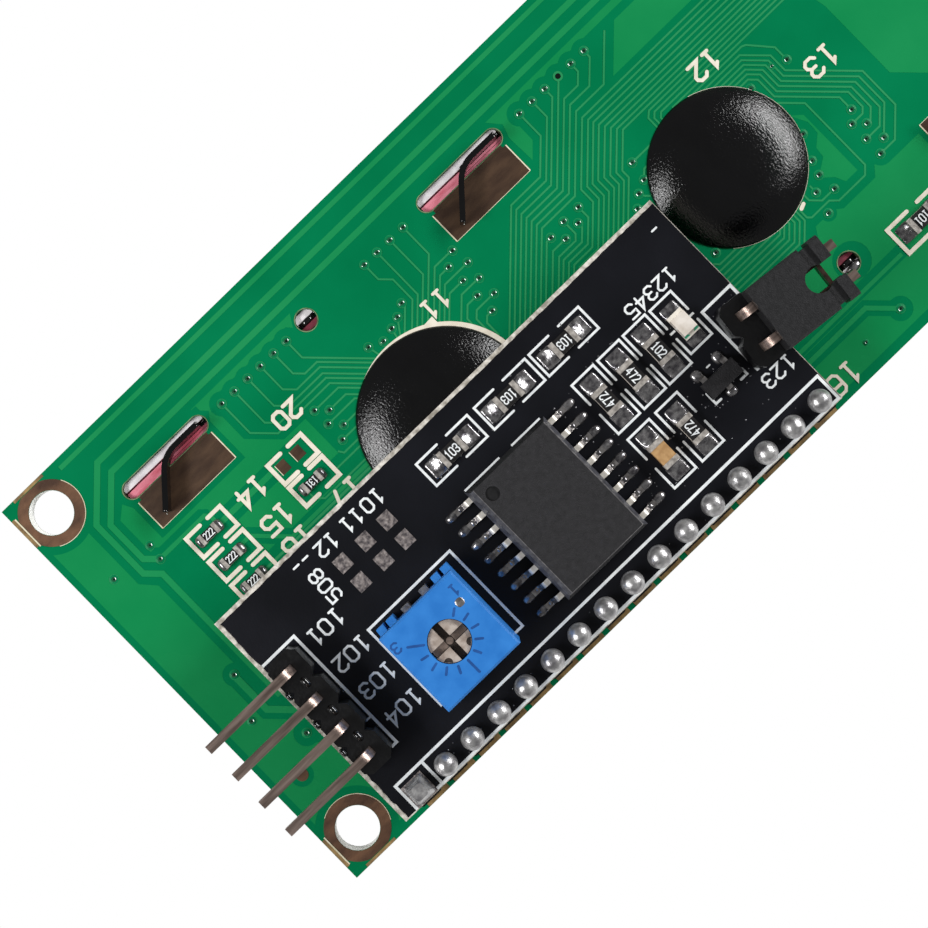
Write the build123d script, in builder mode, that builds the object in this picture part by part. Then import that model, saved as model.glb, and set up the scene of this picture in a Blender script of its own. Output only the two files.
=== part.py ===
from build123d import *
from math import cos, radians, sin
import os

# A character display module lying on its face, back up, with a serial adapter board on a pin header.
# Origin: centre of the four mounting holes, in the display board's front face. +Z is the back of the board.
# +X runs along the board's long side, away from the four-pin plug end. All sizes are in millimetres.

# Display board
board_length = 80.0
board_width = 36.0
board_thickness = 1.6
mount_edge = 2.5
mount_hole_diameter = 3.2

# Folded steel bezel
bezel_end_margin = 4.4
bezel_width = 24.2
bezel_height = 7.0
bezel_shift_y = 0.8
sheet_thickness = 0.4
bezel_corner_radius = 0.8
bezel_fold_radius = 0.6
window_end_margin = 3.35
window_side_margin = 4.1
window_corner_radius = 0.5

# Slots, twisted tabs and locating nibs of the bezel
slot_end = 6.6
slot_length = 7.8
slot_width = 1.3
tab_neck_width = 3.2
tab_straight = 2.2
tab_bend_radius = 2.4
tab_bend_angle = 48.0
tab_diagonal = 2.85
tab_height = 1.4
tab_side_gap = 0.5
nib_setback = 20.5
nib_width = 1.1
nib_height = 1.0
nib_hole_diameter = 1.55

# Display stack inside the bezel
stack_clearance = 0.3
polarizer_thickness = 0.2
polarizer_margin = 0.9
glass_thickness = 1.1
frame_wall = 1.2
frame_floor = 0.6
film_thickness = 0.1
diffuser_thickness = 0.2
pocket_clearance = 0.2
frame_overhang = 0.1
zebra_thickness = 2.2
zebra_gap = 0.5
zebra_end_margin = 4.0

# Edge light
light_board_thickness = 0.8
light_board_gap = 0.6
light_count = 3
light_end_margin = 1.3
light_size = 2.6
light_depth = 0.9
light_height = 1.4
light_lead_margin = 3.0
light_lead_width = 0.5
light_lead_end = 0.8
lead_hole_diameter = 0.9

# Epoxy blobs over the bare chips
blob_height = 1.35
blob_edge = 0.06
blob_1_x = -12.76
blob_1_y = 0.83
blob_1_radius = 6.46
blob_2_x = 13.65
blob_2_y = -0.33
blob_2_radius = 5.7

# Header between the boards
pin_pitch = 2.54
pin_width = 0.64
pin_tip_length = 0.35
pin_tip_width = 0.34
pin_hole_diameter = 1.05
strip_height = 2.54
strip_width = 2.5
strip_notch = 0.45
header_count = 16
header_edge_x = 8.1
header_edge_y = 1.8
header_pin_overhang = 1.4
header_pin_rise = 0.85

# Adapter board, placed from the display board's corner
adapter_length = 41.6
adapter_width = 18.85
adapter_thickness = 1.6
adapter_edge_y = 0.85
adapter_edge_x = 5.9

# Solder joints
ball_crown_radius = 0.52
ball_height = 1.2
ball_foot_radius = 0.78
ball_bulge_radius = 0.98
ball_bulge_rise = 0.55
fillet_radius = 0.78
fillet_height = 0.85
fillet_neck = 0.46
square_joint_width = 1.75
square_joint_top = 1.0
square_joint_corner = 0.22

# Bus header, placed from the adapter's corner, and jumper header, placed from its far end
row_pin_height = 3.76
row_pin_bend = 0.75
row_pin_tail = 1.3
bus_count = 4
bus_across = 1.85
bus_up = 9.15
bus_reach = 7.35
jumper_count = 2
jumper_setback = 1.5
jumper_up = 7.68
jumper_yaw = -5.8
jumper_reach = 7.55

# Jumper cap
cap_start = 0.83
cap_length = 4.3
cap_width = 4.9
cap_thickness = 2.3
cap_edge = 0.2
ear_length = 1.6
ear_groove = 0.8
ear_groove_depth = 0.22
cap_notch_radius = 0.95
cap_channel_clearance = 0.06
cap_channel_height = 1.1
contact_thickness = 0.15
contact_gap = 0.03
contact_height = 0.9
contact_web_setback = 0.85
contact_start = 1.43

# Port expander chip, placed from the adapter's corner
chip_across = 22.3
chip_up = 8.27
chip_length = 10.15
chip_width = 7.45
chip_standoff = 0.2
chip_height = 2.15
chip_band = 0.3
chip_band_level = 0.95
chip_taper = 16.0
chip_dimple_diameter = 1.0
chip_dimple_depth = 0.12
chip_dimple_inset = 1.35
lead_count = 8
lead_pitch = 1.27
lead_width = 0.42
lead_thickness = 0.25
lead_span = 10.4
lead_shoulder = 0.45
lead_foot = 0.65
lead_bend = 0.24

# Contrast trimmer, placed from the adapter's corner
trimmer_across = 11.1
trimmer_up = 7.03
trimmer_size_x = 6.6
trimmer_size_y = 6.65
trimmer_height = 4.86
trimmer_wall = 0.7
trimmer_cap = 1.0
trimmer_standoff = 0.25
trimmer_fit = 0.02
trimmer_edge = 0.15
lug_width = 0.62
lug_depth = 0.5
lug_height = 2.1
lug_inner_x = 2.1
lug_outer_x = 2.99
rotor_diameter = 2.9
rotor_clearance = 0.05
rotor_recess = 0.2
rotor_flange_diameter = 4.7
rotor_flange_height = 1.1
rotor_slot_width = 0.55
rotor_slot_depth = 0.55
wiper_thickness = 0.15
wiper_radius = 2.0
wiper_hole_radius = 0.6
wiper_hub_radius = 1.2
wiper_gap = 0.05
element_thickness = 0.6
trimmer_pin_row = 2.54
trimmer_pin_offset = 2.4
trimmer_pin_width = 0.5
trimmer_pin_tail = 1.0

# Small surface mounted parts
small_length = 1.6
small_width = 0.8
small_height = 0.45
small_end = 0.3
large_length = 2.0
large_width = 1.25
large_height = 0.55
large_end = 0.38
end_step = 0.04
capacitor_height = 0.85
led_base_height = 0.35
led_lens_length = 1.45
led_lens_height = 0.4
led_lens_taper = 4.0
solder_film = 0.06
transistor_setback = 5.05
transistor_up = 6.7
transistor_length = 2.9
transistor_width = 1.3
transistor_height = 1.0
transistor_standoff = 0.05
transistor_band = 0.2
transistor_taper = 7.0
transistor_lead_pitch = 1.9
transistor_lead_width = 0.45
transistor_lead_thickness = 0.15
transistor_lead_span = 2.5
transistor_lead_shoulder = 0.2
transistor_lead_foot = 0.22
transistor_lead_bend = 0.1

# Places of the small parts from the display board's corner, as x, y and whether the part runs along Y
display_resistors = [
    (9.5, 24.65, False),
    (9.5, 22.37, False),
    (9.5, 20.12, False),
    (17.25, 22.2, False),
]
display_large_resistor = (60.85, 5.6)

# Places of the small parts on the adapter, from its corner in the same way
adapter_resistors = [
    (19.95, 15.95, False),
    (25.3, 15.95, False),
    (30.6, 15.95, False),
    (29.95, 11.1, True),
    (32.4, 11.1, True),
    (34.85, 11.1, True),
    (32.75, 5.65, True),
]
capacitor_place = (30.15, 5.85)
led_place = (37.3, 11.2)

# Levels and positions worked out from the sizes above
adapter_bottom = board_thickness + strip_height
adapter_top = adapter_bottom + adapter_thickness
header_x = -board_length / 2 + header_edge_x + (header_count - 1) * pin_pitch / 2
header_y = -board_width / 2 + header_edge_y
header_pin_bottom = -header_pin_overhang
header_pin_top = adapter_top + header_pin_rise
adapter_left = -board_length / 2 + adapter_edge_x
adapter_low = -board_width / 2 + adapter_edge_y
adapter_x = adapter_left + adapter_length / 2
adapter_y = adapter_low + adapter_width / 2
bus_x = adapter_left + bus_across
bus_y = adapter_low + bus_up
jumper_x = adapter_left + adapter_length - jumper_setback
jumper_y = adapter_low + jumper_up
chip_x = adapter_left + chip_across
chip_y = adapter_low + chip_up
trimmer_x = adapter_left + trimmer_across
trimmer_y = adapter_low + trimmer_up
transistor_x = adapter_left + adapter_length - transistor_setback
transistor_y = adapter_low + transistor_up
mount_spacing_x = board_length - 2 * mount_edge
mount_spacing_y = board_width - 2 * mount_edge
bezel_length = board_length - 2 * bezel_end_margin
window_length = bezel_length - 2 * window_end_margin
window_width = bezel_width - 2 * window_side_margin
slot_pitch = bezel_length / 2 - slot_end
nib_x = bezel_length / 2 - nib_setback
wall_y = bezel_width / 2 - sheet_thickness / 2
cavity_length = bezel_length - 2 * sheet_thickness
cavity_width = bezel_width - 2 * sheet_thickness
front_glass_width = cavity_width - 2 * stack_clearance
rear_glass_width = front_glass_width - 2 * (zebra_thickness + zebra_gap)
lip_level = -bezel_height + sheet_thickness
front_glass_level = lip_level + polarizer_thickness
rear_glass_level = front_glass_level + glass_thickness
rear_polarizer_level = rear_glass_level + glass_thickness
frame_level = rear_polarizer_level + polarizer_thickness
frame_length = cavity_length - 2 * stack_clearance
frame_width = rear_glass_width + 2 * frame_overhang
floor_level = -frame_floor
diffuser_level = frame_level + film_thickness
guide_level = diffuser_level + diffuser_thickness
guide_thickness = floor_level - film_thickness - guide_level
pocket_length = frame_length - 2 * frame_wall
pocket_width = frame_width - 2 * frame_wall
light_zone = light_board_thickness + light_depth + 2 * pocket_clearance
guide_length = pocket_length - light_zone - 2 * pocket_clearance
guide_width = pocket_width - 2 * pocket_clearance
guide_x = -light_zone / 2
light_board_x = pocket_length / 2 - pocket_clearance - light_board_thickness / 2
light_x = light_board_x - light_board_thickness / 2 - light_depth / 2
light_board_height = guide_thickness
light_board_length = pocket_width - 2 * light_board_gap
light_pitch = (light_board_length - light_size - 2 * light_end_margin) / (light_count - 1)
light_lead_spacing = light_board_length - 2 * light_lead_margin
light_level = guide_level + guide_thickness / 2
lead_level = light_level - light_board_height / 4
nib_side = bezel_shift_y + wall_y
nib_far_side = bezel_shift_y - wall_y

os.makedirs("parts", exist_ok=True)


def write_part(builder, name):
    """Labels a finished piece and writes it to its own file."""
    builder.part.label = name
    export_step(builder.part, f"parts/{name}.step")


def block(length, width, height, x=0.0, y=0.0, level=0.0):
    """A plain block standing on the given level, inside the current builder."""
    with Locations((x, y, level)):
        Box(length, width, height, align=(Align.CENTER, Align.CENTER, Align.MIN))


def chain_outline(count):
    """The outline of a header strip: one chamfered square for each pin, side by side."""
    half = strip_width / 2
    for number in range(count):
        x = (number - (count - 1) / 2) * pin_pitch
        with Locations((x, 0)):
            Polygon(
                (-pin_pitch / 2, half - strip_notch),
                (-pin_pitch / 2 + strip_notch, half),
                (pin_pitch / 2 - strip_notch, half),
                (pin_pitch / 2, half - strip_notch),
                (pin_pitch / 2, strip_notch - half),
                (pin_pitch / 2 - strip_notch, -half),
                (-pin_pitch / 2 + strip_notch, -half),
                (-pin_pitch / 2, strip_notch - half),
            )


def header_strip_on(plane, count):
    """The moulded strip of a pin header, with a square hole for each pin."""
    with BuildSketch(plane) as outline:
        chain_outline(count)
        with GridLocations(pin_pitch, pin_pitch, count, 1):
            Rectangle(pin_width, pin_width, mode=Mode.SUBTRACT)
    extrude(outline.sketch, amount=strip_height)


def straight_pin(x, y, bottom, top):
    """A square pin with a short taper at both ends."""
    block(pin_width, pin_width, top - bottom - 2 * pin_tip_length, x, y, bottom + pin_tip_length)
    for level, tip in ((top - pin_tip_length, top), (bottom + pin_tip_length, bottom)):
        with BuildSketch(Plane.XY.offset(level)) as full:
            with Locations((x, y)):
                Rectangle(pin_width, pin_width)
        with BuildSketch(Plane.XY.offset(tip)) as end:
            with Locations((x, y)):
                Rectangle(pin_tip_width, pin_tip_width)
        loft([full.sketch, end.sketch])


def bent_pins(plane, count, reach):
    """Square pins that rise through their strip and bend over along the plane's X axis."""
    start = -adapter_thickness - row_pin_tail
    for number in range(count):
        y = (number - (count - 1) / 2) * pin_pitch
        side = Plane(plane.from_local_coords((0, y, 0)), x_dir=plane.x_dir, z_dir=-plane.y_dir)
        with BuildSketch(side) as profile:
            with BuildLine():
                FilletPolyline(
                    (0, start),
                    (0, row_pin_height),
                    (reach, row_pin_height),
                    radius=row_pin_bend,
                )
            trace(line_width=pin_width)
        extrude(profile.sketch, amount=pin_width / 2, both=True)


def section_plane(plane, x):
    """The plane across a piece at the given distance along its own X axis."""
    return Plane(plane.from_local_coords((x, 0, 0)), x_dir=plane.y_dir, z_dir=plane.x_dir)


def gull_leads(plane, span, level, shoulder, foot, bend, thickness, width, places):
    """Gull-wing leads that leave a body at the given level, run out and down, and end in a flat foot."""
    for x, start in places:
        side = 1 if start > 0 else -1
        edge = section_plane(plane, x)
        knee = start + side * shoulder
        heel = side * (span / 2 - foot)
        with BuildSketch(edge) as profile:
            with BuildLine():
                FilletPolyline(
                    (start, level),
                    (knee, level),
                    (heel, thickness / 2 + solder_film),
                    (side * span / 2, thickness / 2 + solder_film),
                    radius=bend,
                )
            trace(line_width=thickness)
        extrude(profile.sketch, amount=width / 2, both=True)


def moulded_body(plane, length, width, standoff, height, band, band_level, taper):
    """A moulded chip body: a straight band at the lead frame, tapering above and below it."""
    band_bottom = standoff + band_level - band / 2
    band_top = band_bottom + band
    for level, depth, angle, way in (
        (band_bottom, band, 0, 1),
        (band_top, standoff + height - band_top, taper, 1),
        (band_bottom, band_bottom - standoff, taper, -1),
    ):
        with BuildSketch(plane.offset(level)) as outline:
            Rectangle(length, width)
        extrude(outline.sketch, amount=way * depth, taper=angle)


def small_part(plane, length, width, height, end):
    """A chip resistor or capacitor: a ceramic block with slightly thicker metal ends."""
    with BuildSketch(plane) as middle:
        Rectangle(length - 2 * end, width - 2 * end_step)
    extrude(middle.sketch, amount=height - end_step)
    with BuildSketch(plane) as ends:
        with GridLocations(length - end, 0, 2, 1):
            Rectangle(end, width)
    extrude(ends.sketch, amount=height)


def solder_cone(x, y, level, way, hole):
    """A solder fillet around a pin, on the side of a board that the way points to."""
    with BuildSketch(Plane.XY.offset(level)) as foot:
        with Locations((x, y)):
            Circle(fillet_radius)
    with BuildSketch(Plane.XY.offset(level + way * fillet_height)) as neck:
        with Locations((x, y)):
            Circle(fillet_neck)
    loft([foot.sketch, neck.sketch])
    with Locations((x, y, level)):
        Box(hole, hole, 2 * fillet_height, mode=Mode.SUBTRACT)


def on_display(place):
    """A place given from the display board's corner, in the shared frame."""
    return place[0] - board_length / 2, place[1] - board_width / 2


def on_adapter(place):
    """A place given from the adapter's corner, in the shared frame."""
    return adapter_left + place[0], adapter_low + place[1]


def part_plane(x, y, level, along_y):
    """The plane a small part is built on, with its length along X or along Y."""
    direction = (0, 1, 0) if along_y else (1, 0, 0)
    return Plane((x, y, level), x_dir=direction, z_dir=(0, 0, 1))


header_start = header_x - (header_count - 1) / 2 * pin_pitch
header_places = [(header_start + n * pin_pitch, header_y) for n in range(header_count)]
bus_start = bus_y - (bus_count - 1) / 2 * pin_pitch
bus_places = [(bus_x, bus_start + n * pin_pitch) for n in range(bus_count)]
jumper_plane = Plane(
    (jumper_x, jumper_y, adapter_top),
    x_dir=(cos(radians(jumper_yaw)), sin(radians(jumper_yaw)), 0),
    z_dir=(0, 0, 1),
)
bus_plane = Plane((bus_x, bus_y, adapter_top), x_dir=(-1, 0, 0), z_dir=(0, 0, 1))
jumper_places = []
for n in range(jumper_count):
    spot = jumper_plane.from_local_coords((0, (n - (jumper_count - 1) / 2) * pin_pitch, 0))
    jumper_places.append((spot.X, spot.Y))
trimmer_pin_places = [
    (trimmer_x - trimmer_pin_row, trimmer_y + trimmer_pin_offset),
    (trimmer_x + trimmer_pin_row, trimmer_y + trimmer_pin_offset),
    (trimmer_x, trimmer_y),
]
light_lead_places = [(light_board_x, bezel_shift_y + side * light_lead_spacing / 2) for side in (-1, 1)]
slot_places = [(step * slot_pitch, side) for step in (-1, 0, 1) for side in (1, -1)]

# Display board
with BuildPart() as lcd_board:
    block(board_length, board_width, board_thickness)
    with BuildSketch(Plane.XY):
        with GridLocations(mount_spacing_x, mount_spacing_y, 2, 2):
            Circle(mount_hole_diameter / 2)
        for x, side in slot_places:
            with Locations((x, bezel_shift_y + side * wall_y)):
                SlotOverall(slot_length, slot_width)
        with Locations((-nib_x, nib_side), (nib_x, nib_far_side)):
            Circle(nib_hole_diameter / 2)
        with Locations(*header_places):
            Circle(pin_hole_diameter / 2)
        with Locations(*light_lead_places):
            Circle(lead_hole_diameter / 2)
    extrude(amount=board_thickness, mode=Mode.SUBTRACT)
write_part(lcd_board, "lcd_board")

# Bezel: a folded tray with a window, six twisted tabs and two nibs
with BuildPart() as bezel:
    with BuildSketch(Plane.XY.offset(-bezel_height)):
        with Locations((0, bezel_shift_y)):
            RectangleRounded(bezel_length, bezel_width, bezel_corner_radius)
    extrude(amount=bezel_height)
    fillet(bezel.edges().group_by(Axis.Z)[0], radius=bezel_fold_radius)
    with BuildSketch(Plane.XY.offset(lip_level)):
        with Locations((0, bezel_shift_y)):
            RectangleRounded(cavity_length, cavity_width, bezel_corner_radius - sheet_thickness)
    extrude(amount=bezel_height, mode=Mode.SUBTRACT)
    with BuildSketch(Plane.XY.offset(-bezel_height)):
        with Locations((0, bezel_shift_y)):
            RectangleRounded(window_length, window_width, window_corner_radius)
    extrude(amount=sheet_thickness, mode=Mode.SUBTRACT)
    for x, side in slot_places:
        tab_end = x + slot_length / 2 - tab_side_gap
        tab_y = bezel_shift_y + side * wall_y
        block(tab_neck_width, sheet_thickness, board_thickness, tab_end - tab_neck_width / 2, tab_y)
        with BuildSketch(Plane.XY.offset(board_thickness)):
            with BuildLine():
                run = Line((tab_end, tab_y), (tab_end - tab_straight, tab_y))
                turn = JernArc(run @ 1, run % 1, tab_bend_radius, side * tab_bend_angle)
                Line(turn @ 1, turn @ 1 + (turn % 1) * tab_diagonal)
            trace(line_width=sheet_thickness)
        extrude(amount=tab_height)
    for x, y in ((-nib_x, nib_side), (nib_x, nib_far_side)):
        block(nib_width, sheet_thickness, nib_height, x, y)
write_part(bezel, "bezel")

# Polarizers, glass and the light stack, from the window back to the board
polarizer_length = window_length + 2 * polarizer_margin
polarizer_width = window_width + 2 * polarizer_margin
with BuildPart() as front_polarizer:
    block(polarizer_length, polarizer_width, polarizer_thickness, 0, bezel_shift_y, lip_level)
write_part(front_polarizer, "front_polarizer")

with BuildPart() as front_glass:
    block(frame_length, front_glass_width, glass_thickness, 0, bezel_shift_y, front_glass_level)
write_part(front_glass, "front_glass")

with BuildPart() as rear_glass:
    block(frame_length, rear_glass_width, glass_thickness, 0, bezel_shift_y, rear_glass_level)
write_part(rear_glass, "rear_glass")

with BuildPart() as rear_polarizer:
    rear_polarizer_width = min(polarizer_width, rear_glass_width)
    block(
        polarizer_length,
        rear_polarizer_width,
        polarizer_thickness,
        0,
        bezel_shift_y,
        rear_polarizer_level,
    )
write_part(rear_polarizer, "rear_polarizer")

with BuildPart() as backlight_frame:
    block(frame_length, frame_width, -frame_level, 0, bezel_shift_y, frame_level)
    with BuildSketch(Plane.XY.offset(frame_level)):
        with Locations((0, bezel_shift_y)):
            Rectangle(pocket_length, pocket_width)
    extrude(amount=floor_level - frame_level, mode=Mode.SUBTRACT)
    with BuildSketch(Plane.XY.offset(floor_level)):
        with Locations(*light_lead_places):
            Circle(lead_hole_diameter / 2)
    extrude(amount=frame_floor, mode=Mode.SUBTRACT)
write_part(backlight_frame, "backlight_frame")

with BuildPart() as diffuser_film:
    block(guide_length, guide_width, diffuser_thickness, guide_x, bezel_shift_y, diffuser_level)
write_part(diffuser_film, "diffuser_film")

with BuildPart() as light_guide:
    block(guide_length, guide_width, guide_thickness, guide_x, bezel_shift_y, guide_level)
write_part(light_guide, "light_guide")

with BuildPart() as reflector_film:
    film_level = floor_level - film_thickness
    block(guide_length, guide_width, film_thickness, guide_x, bezel_shift_y, film_level)
write_part(reflector_film, "reflector_film")

# Edge light at the far end of the pocket, with two leads that rise through the display board
with BuildPart() as backlight_board:
    block(
        light_board_thickness,
        light_board_length,
        light_board_height,
        light_board_x,
        bezel_shift_y,
        guide_level,
    )
    for x, y in light_lead_places:
        with Locations((x, y, lead_level)):
            Box(
                light_lead_width,
                light_lead_width,
                light_board_height,
                align=(Align.CENTER, Align.CENTER, Align.MIN),
                mode=Mode.SUBTRACT,
            )
write_part(backlight_board, "backlight_board")

with BuildPart() as backlight_leds:
    for number in range(light_count):
        y = bezel_shift_y + (number - (light_count - 1) / 2) * light_pitch
        with Locations((light_x, y, light_level)):
            Box(light_depth, light_size, light_height)
write_part(backlight_leds, "backlight_leds")

with BuildPart() as backlight_leads:
    for x, y in light_lead_places:
        lead_top = board_thickness + light_lead_end
        block(light_lead_width, light_lead_width, lead_top - lead_level, x, y, lead_level)
write_part(backlight_leads, "backlight_leads")

with BuildPart() as backlight_solder:
    for x, y in light_lead_places:
        solder_cone(x, y, board_thickness, 1, light_lead_width)
write_part(backlight_solder, "backlight_solder")

# Zebra strips between the glass ledges and the display board
zebra_length = cavity_length - 2 * zebra_end_margin
zebra_height = -rear_glass_level
zebra_y = cavity_width / 2 - stack_clearance - zebra_thickness / 2
with BuildPart() as zebra_strip_upper:
    block(zebra_length, zebra_thickness, zebra_height, 0, bezel_shift_y + zebra_y, rear_glass_level)
write_part(zebra_strip_upper, "zebra_strip_upper")

with BuildPart() as zebra_strip_lower:
    block(zebra_length, zebra_thickness, zebra_height, 0, bezel_shift_y - zebra_y, rear_glass_level)
write_part(zebra_strip_lower, "zebra_strip_lower")


def epoxy_blob(name, x, y, radius):
    """A domed drop of black epoxy over a bare chip."""
    with BuildPart() as blob:
        with BuildSketch(Plane((x, y, board_thickness), x_dir=(1, 0, 0), z_dir=(0, -1, 0))):
            with BuildLine():
                Polyline((0, blob_height), (0, 0), (radius, 0), (radius, blob_edge))
                TangentArc((0, blob_height), (radius, blob_edge), tangent=(1, 0))
            make_face()
        revolve(axis=Axis((x, y, 0), (0, 0, 1)))
    write_part(blob, name)


epoxy_blob("epoxy_blob_1", blob_1_x, blob_1_y, blob_1_radius)
epoxy_blob("epoxy_blob_2", blob_2_x, blob_2_y, blob_2_radius)

# Resistors on the display board
for number, (across, up, along_y) in enumerate(display_resistors, start=1):
    x, y = on_display((across, up))
    with BuildPart() as display_resistor:
        small_part(
            part_plane(x, y, board_thickness + solder_film, along_y),
            small_length,
            small_width,
            small_height,
            small_end,
        )
    write_part(display_resistor, f"display_resistor_{number}")

with BuildPart() as display_large:
    small_part(
        part_plane(*on_display(display_large_resistor), board_thickness + solder_film, False),
        large_length,
        large_width,
        large_height,
        large_end,
    )
write_part(display_large, f"display_resistor_{len(display_resistors) + 1}")

# Header that joins the two boards
with BuildPart() as header_strip:
    header_strip_on(Plane((header_x, header_y, board_thickness)), header_count)
write_part(header_strip, "header_strip")

with BuildPart() as header_pins:
    for x, y in header_places:
        straight_pin(x, y, header_pin_bottom, header_pin_top)
write_part(header_pins, "header_pins")

with BuildPart() as display_header_solder:
    for x, y in header_places:
        solder_cone(x, y, 0, -1, pin_width)
write_part(display_header_solder, "display_header_solder")

# Solder on the adapter's back: a square joint at the first pin and balls at the rest
with BuildPart() as adapter_header_solder:
    for number, (x, y) in enumerate(header_places):
        if number == 0:
            with BuildSketch(Plane.XY.offset(adapter_top)):
                with Locations((x, y)):
                    RectangleRounded(square_joint_width, square_joint_width, square_joint_corner)
            with BuildSketch(Plane.XY.offset(adapter_top + ball_height)):
                with Locations((x, y)):
                    RectangleRounded(square_joint_top, square_joint_top, square_joint_corner)
            loft()
        else:
            with BuildSketch(Plane((x, y, adapter_top), x_dir=(1, 0, 0), z_dir=(0, -1, 0))):
                with BuildLine():
                    Line((0, ball_height), (0, 0))
                    Line((0, 0), (ball_foot_radius, 0))
                    Bezier(
                        (ball_foot_radius, 0),
                        (ball_bulge_radius, ball_height * ball_bulge_rise),
                        (ball_crown_radius, ball_height),
                        (0, ball_height),
                    )
                make_face()
            revolve(axis=Axis((x, y, 0), (0, 0, 1)))
    with BuildSketch(Plane.XY.offset(adapter_top)):
        with Locations(*header_places):
            Rectangle(pin_width, pin_width)
    extrude(amount=header_pin_rise, mode=Mode.SUBTRACT)
write_part(adapter_header_solder, "adapter_header_solder")

# Adapter board
with BuildPart() as adapter_board:
    block(adapter_length, adapter_width, adapter_thickness, adapter_x, adapter_y, adapter_bottom)
    with BuildSketch(Plane.XY.offset(adapter_bottom)):
        with Locations(*header_places, *bus_places, *jumper_places):
            Circle(pin_hole_diameter / 2)
        with Locations(*trimmer_pin_places):
            Circle(lead_hole_diameter / 2)
    extrude(amount=adapter_thickness, mode=Mode.SUBTRACT)
write_part(adapter_board, "adapter_board")

# Port expander chip
chip_plane = part_plane(chip_x, chip_y, adapter_top, True)
with BuildPart() as expander_chip:
    moulded_body(
        chip_plane,
        chip_length,
        chip_width,
        chip_standoff,
        chip_height,
        chip_band,
        chip_band_level,
        chip_taper,
    )
    dimple_x = chip_x - chip_width / 2 + chip_dimple_inset
    dimple_y = chip_y + chip_length / 2 - chip_dimple_inset
    with Locations((dimple_x, dimple_y, adapter_top + chip_standoff + chip_height)):
        Cylinder(chip_dimple_diameter / 2, 2 * chip_dimple_depth, mode=Mode.SUBTRACT)
write_part(expander_chip, "expander_chip")

with BuildPart() as expander_leads:
    lead_places = []
    for number in range(lead_count):
        x = (number - (lead_count - 1) / 2) * lead_pitch
        lead_places += [(x, chip_width / 2), (x, -chip_width / 2)]
    gull_leads(
        chip_plane,
        lead_span,
        chip_standoff + chip_band_level,
        lead_shoulder,
        lead_foot,
        lead_bend,
        lead_thickness,
        lead_width,
        lead_places,
    )
write_part(expander_leads, "expander_leads")

# Contrast trimmer: a blue housing open below, closed by the element plate, with the rotor held between them
trimmer_bottom = adapter_top + trimmer_standoff
trimmer_top = adapter_top + trimmer_height
element_top = trimmer_bottom + element_thickness
cavity_top = trimmer_top - trimmer_cap
with BuildPart() as trimmer_housing:
    block(
        trimmer_size_x, trimmer_size_y, trimmer_top - trimmer_bottom, trimmer_x, trimmer_y, trimmer_bottom
    )
    chamfer(trimmer_housing.edges().group_by(Axis.Z)[-1], length=trimmer_edge)
    with Locations((trimmer_x, trimmer_y, trimmer_bottom)):
        Box(
            trimmer_size_x - 2 * trimmer_wall,
            trimmer_size_y - 2 * trimmer_wall,
            cavity_top - trimmer_bottom,
            align=(Align.CENTER, Align.CENTER, Align.MIN),
            mode=Mode.SUBTRACT,
        )
    with Locations((trimmer_x, trimmer_y, cavity_top)):
        Cylinder(
            rotor_diameter / 2 + rotor_clearance,
            trimmer_cap,
            align=(Align.CENTER, Align.CENTER, Align.MIN),
            mode=Mode.SUBTRACT,
        )
    for offset in (-lug_outer_x, -lug_inner_x, lug_inner_x, lug_outer_x):
        lug_y = trimmer_y + trimmer_size_y / 2
        with BuildSketch(Plane((trimmer_x + offset, lug_y, adapter_top), x_dir=(0, 1, 0), z_dir=(1, 0, 0))):
            Polygon(
                (0, 0),
                (lug_depth, 0),
                (lug_depth, lug_height - lug_depth),
                (0, lug_height),
                align=None,
            )
        extrude(amount=lug_width / 2, both=True)
write_part(trimmer_housing, "trimmer_housing")

with BuildPart() as trimmer_rotor:
    knob_top = trimmer_top - rotor_recess
    flange_top = cavity_top - wiper_gap
    flange_bottom = flange_top - rotor_flange_height
    with Locations((trimmer_x, trimmer_y, flange_bottom)):
        Cylinder(
            rotor_flange_diameter / 2, rotor_flange_height, align=(Align.CENTER, Align.CENTER, Align.MIN)
        )
    with Locations((trimmer_x, trimmer_y, flange_top)):
        Cylinder(rotor_diameter / 2, knob_top - flange_top, align=(Align.CENTER, Align.CENTER, Align.MIN))
    with BuildSketch(Plane.XY.offset(knob_top)):
        with Locations((trimmer_x, trimmer_y)):
            Rectangle(rotor_diameter, rotor_slot_width)
            Rectangle(rotor_slot_width, rotor_diameter)
    extrude(amount=-rotor_slot_depth, mode=Mode.SUBTRACT)
write_part(trimmer_rotor, "trimmer_rotor")

with BuildPart() as trimmer_wiper:
    with BuildSketch(Plane.XY.offset(element_top + wiper_gap)):
        with Locations((trimmer_x, trimmer_y)):
            Circle(wiper_radius)
            Circle(wiper_hole_radius, mode=Mode.SUBTRACT)
    extrude(amount=wiper_thickness)
    with BuildSketch(Plane.XY.offset(element_top + wiper_gap + wiper_thickness)):
        with Locations((trimmer_x, trimmer_y)):
            Circle(wiper_hub_radius)
            Circle(wiper_hole_radius, mode=Mode.SUBTRACT)
    extrude(amount=flange_bottom - element_top - wiper_gap - wiper_thickness)
write_part(trimmer_wiper, "trimmer_wiper")

with BuildPart() as trimmer_element:
    element_x = trimmer_size_x - 2 * (trimmer_wall + trimmer_fit)
    element_y = trimmer_size_y - 2 * (trimmer_wall + trimmer_fit)
    block(element_x, element_y, element_thickness, trimmer_x, trimmer_y, trimmer_bottom)
write_part(trimmer_element, "trimmer_element")

with BuildPart() as trimmer_pins:
    for x, y in trimmer_pin_places:
        tail = adapter_bottom - trimmer_pin_tail
        block(trimmer_pin_width, trimmer_pin_width, trimmer_bottom - tail, x, y, tail)
write_part(trimmer_pins, "trimmer_pins")

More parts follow.
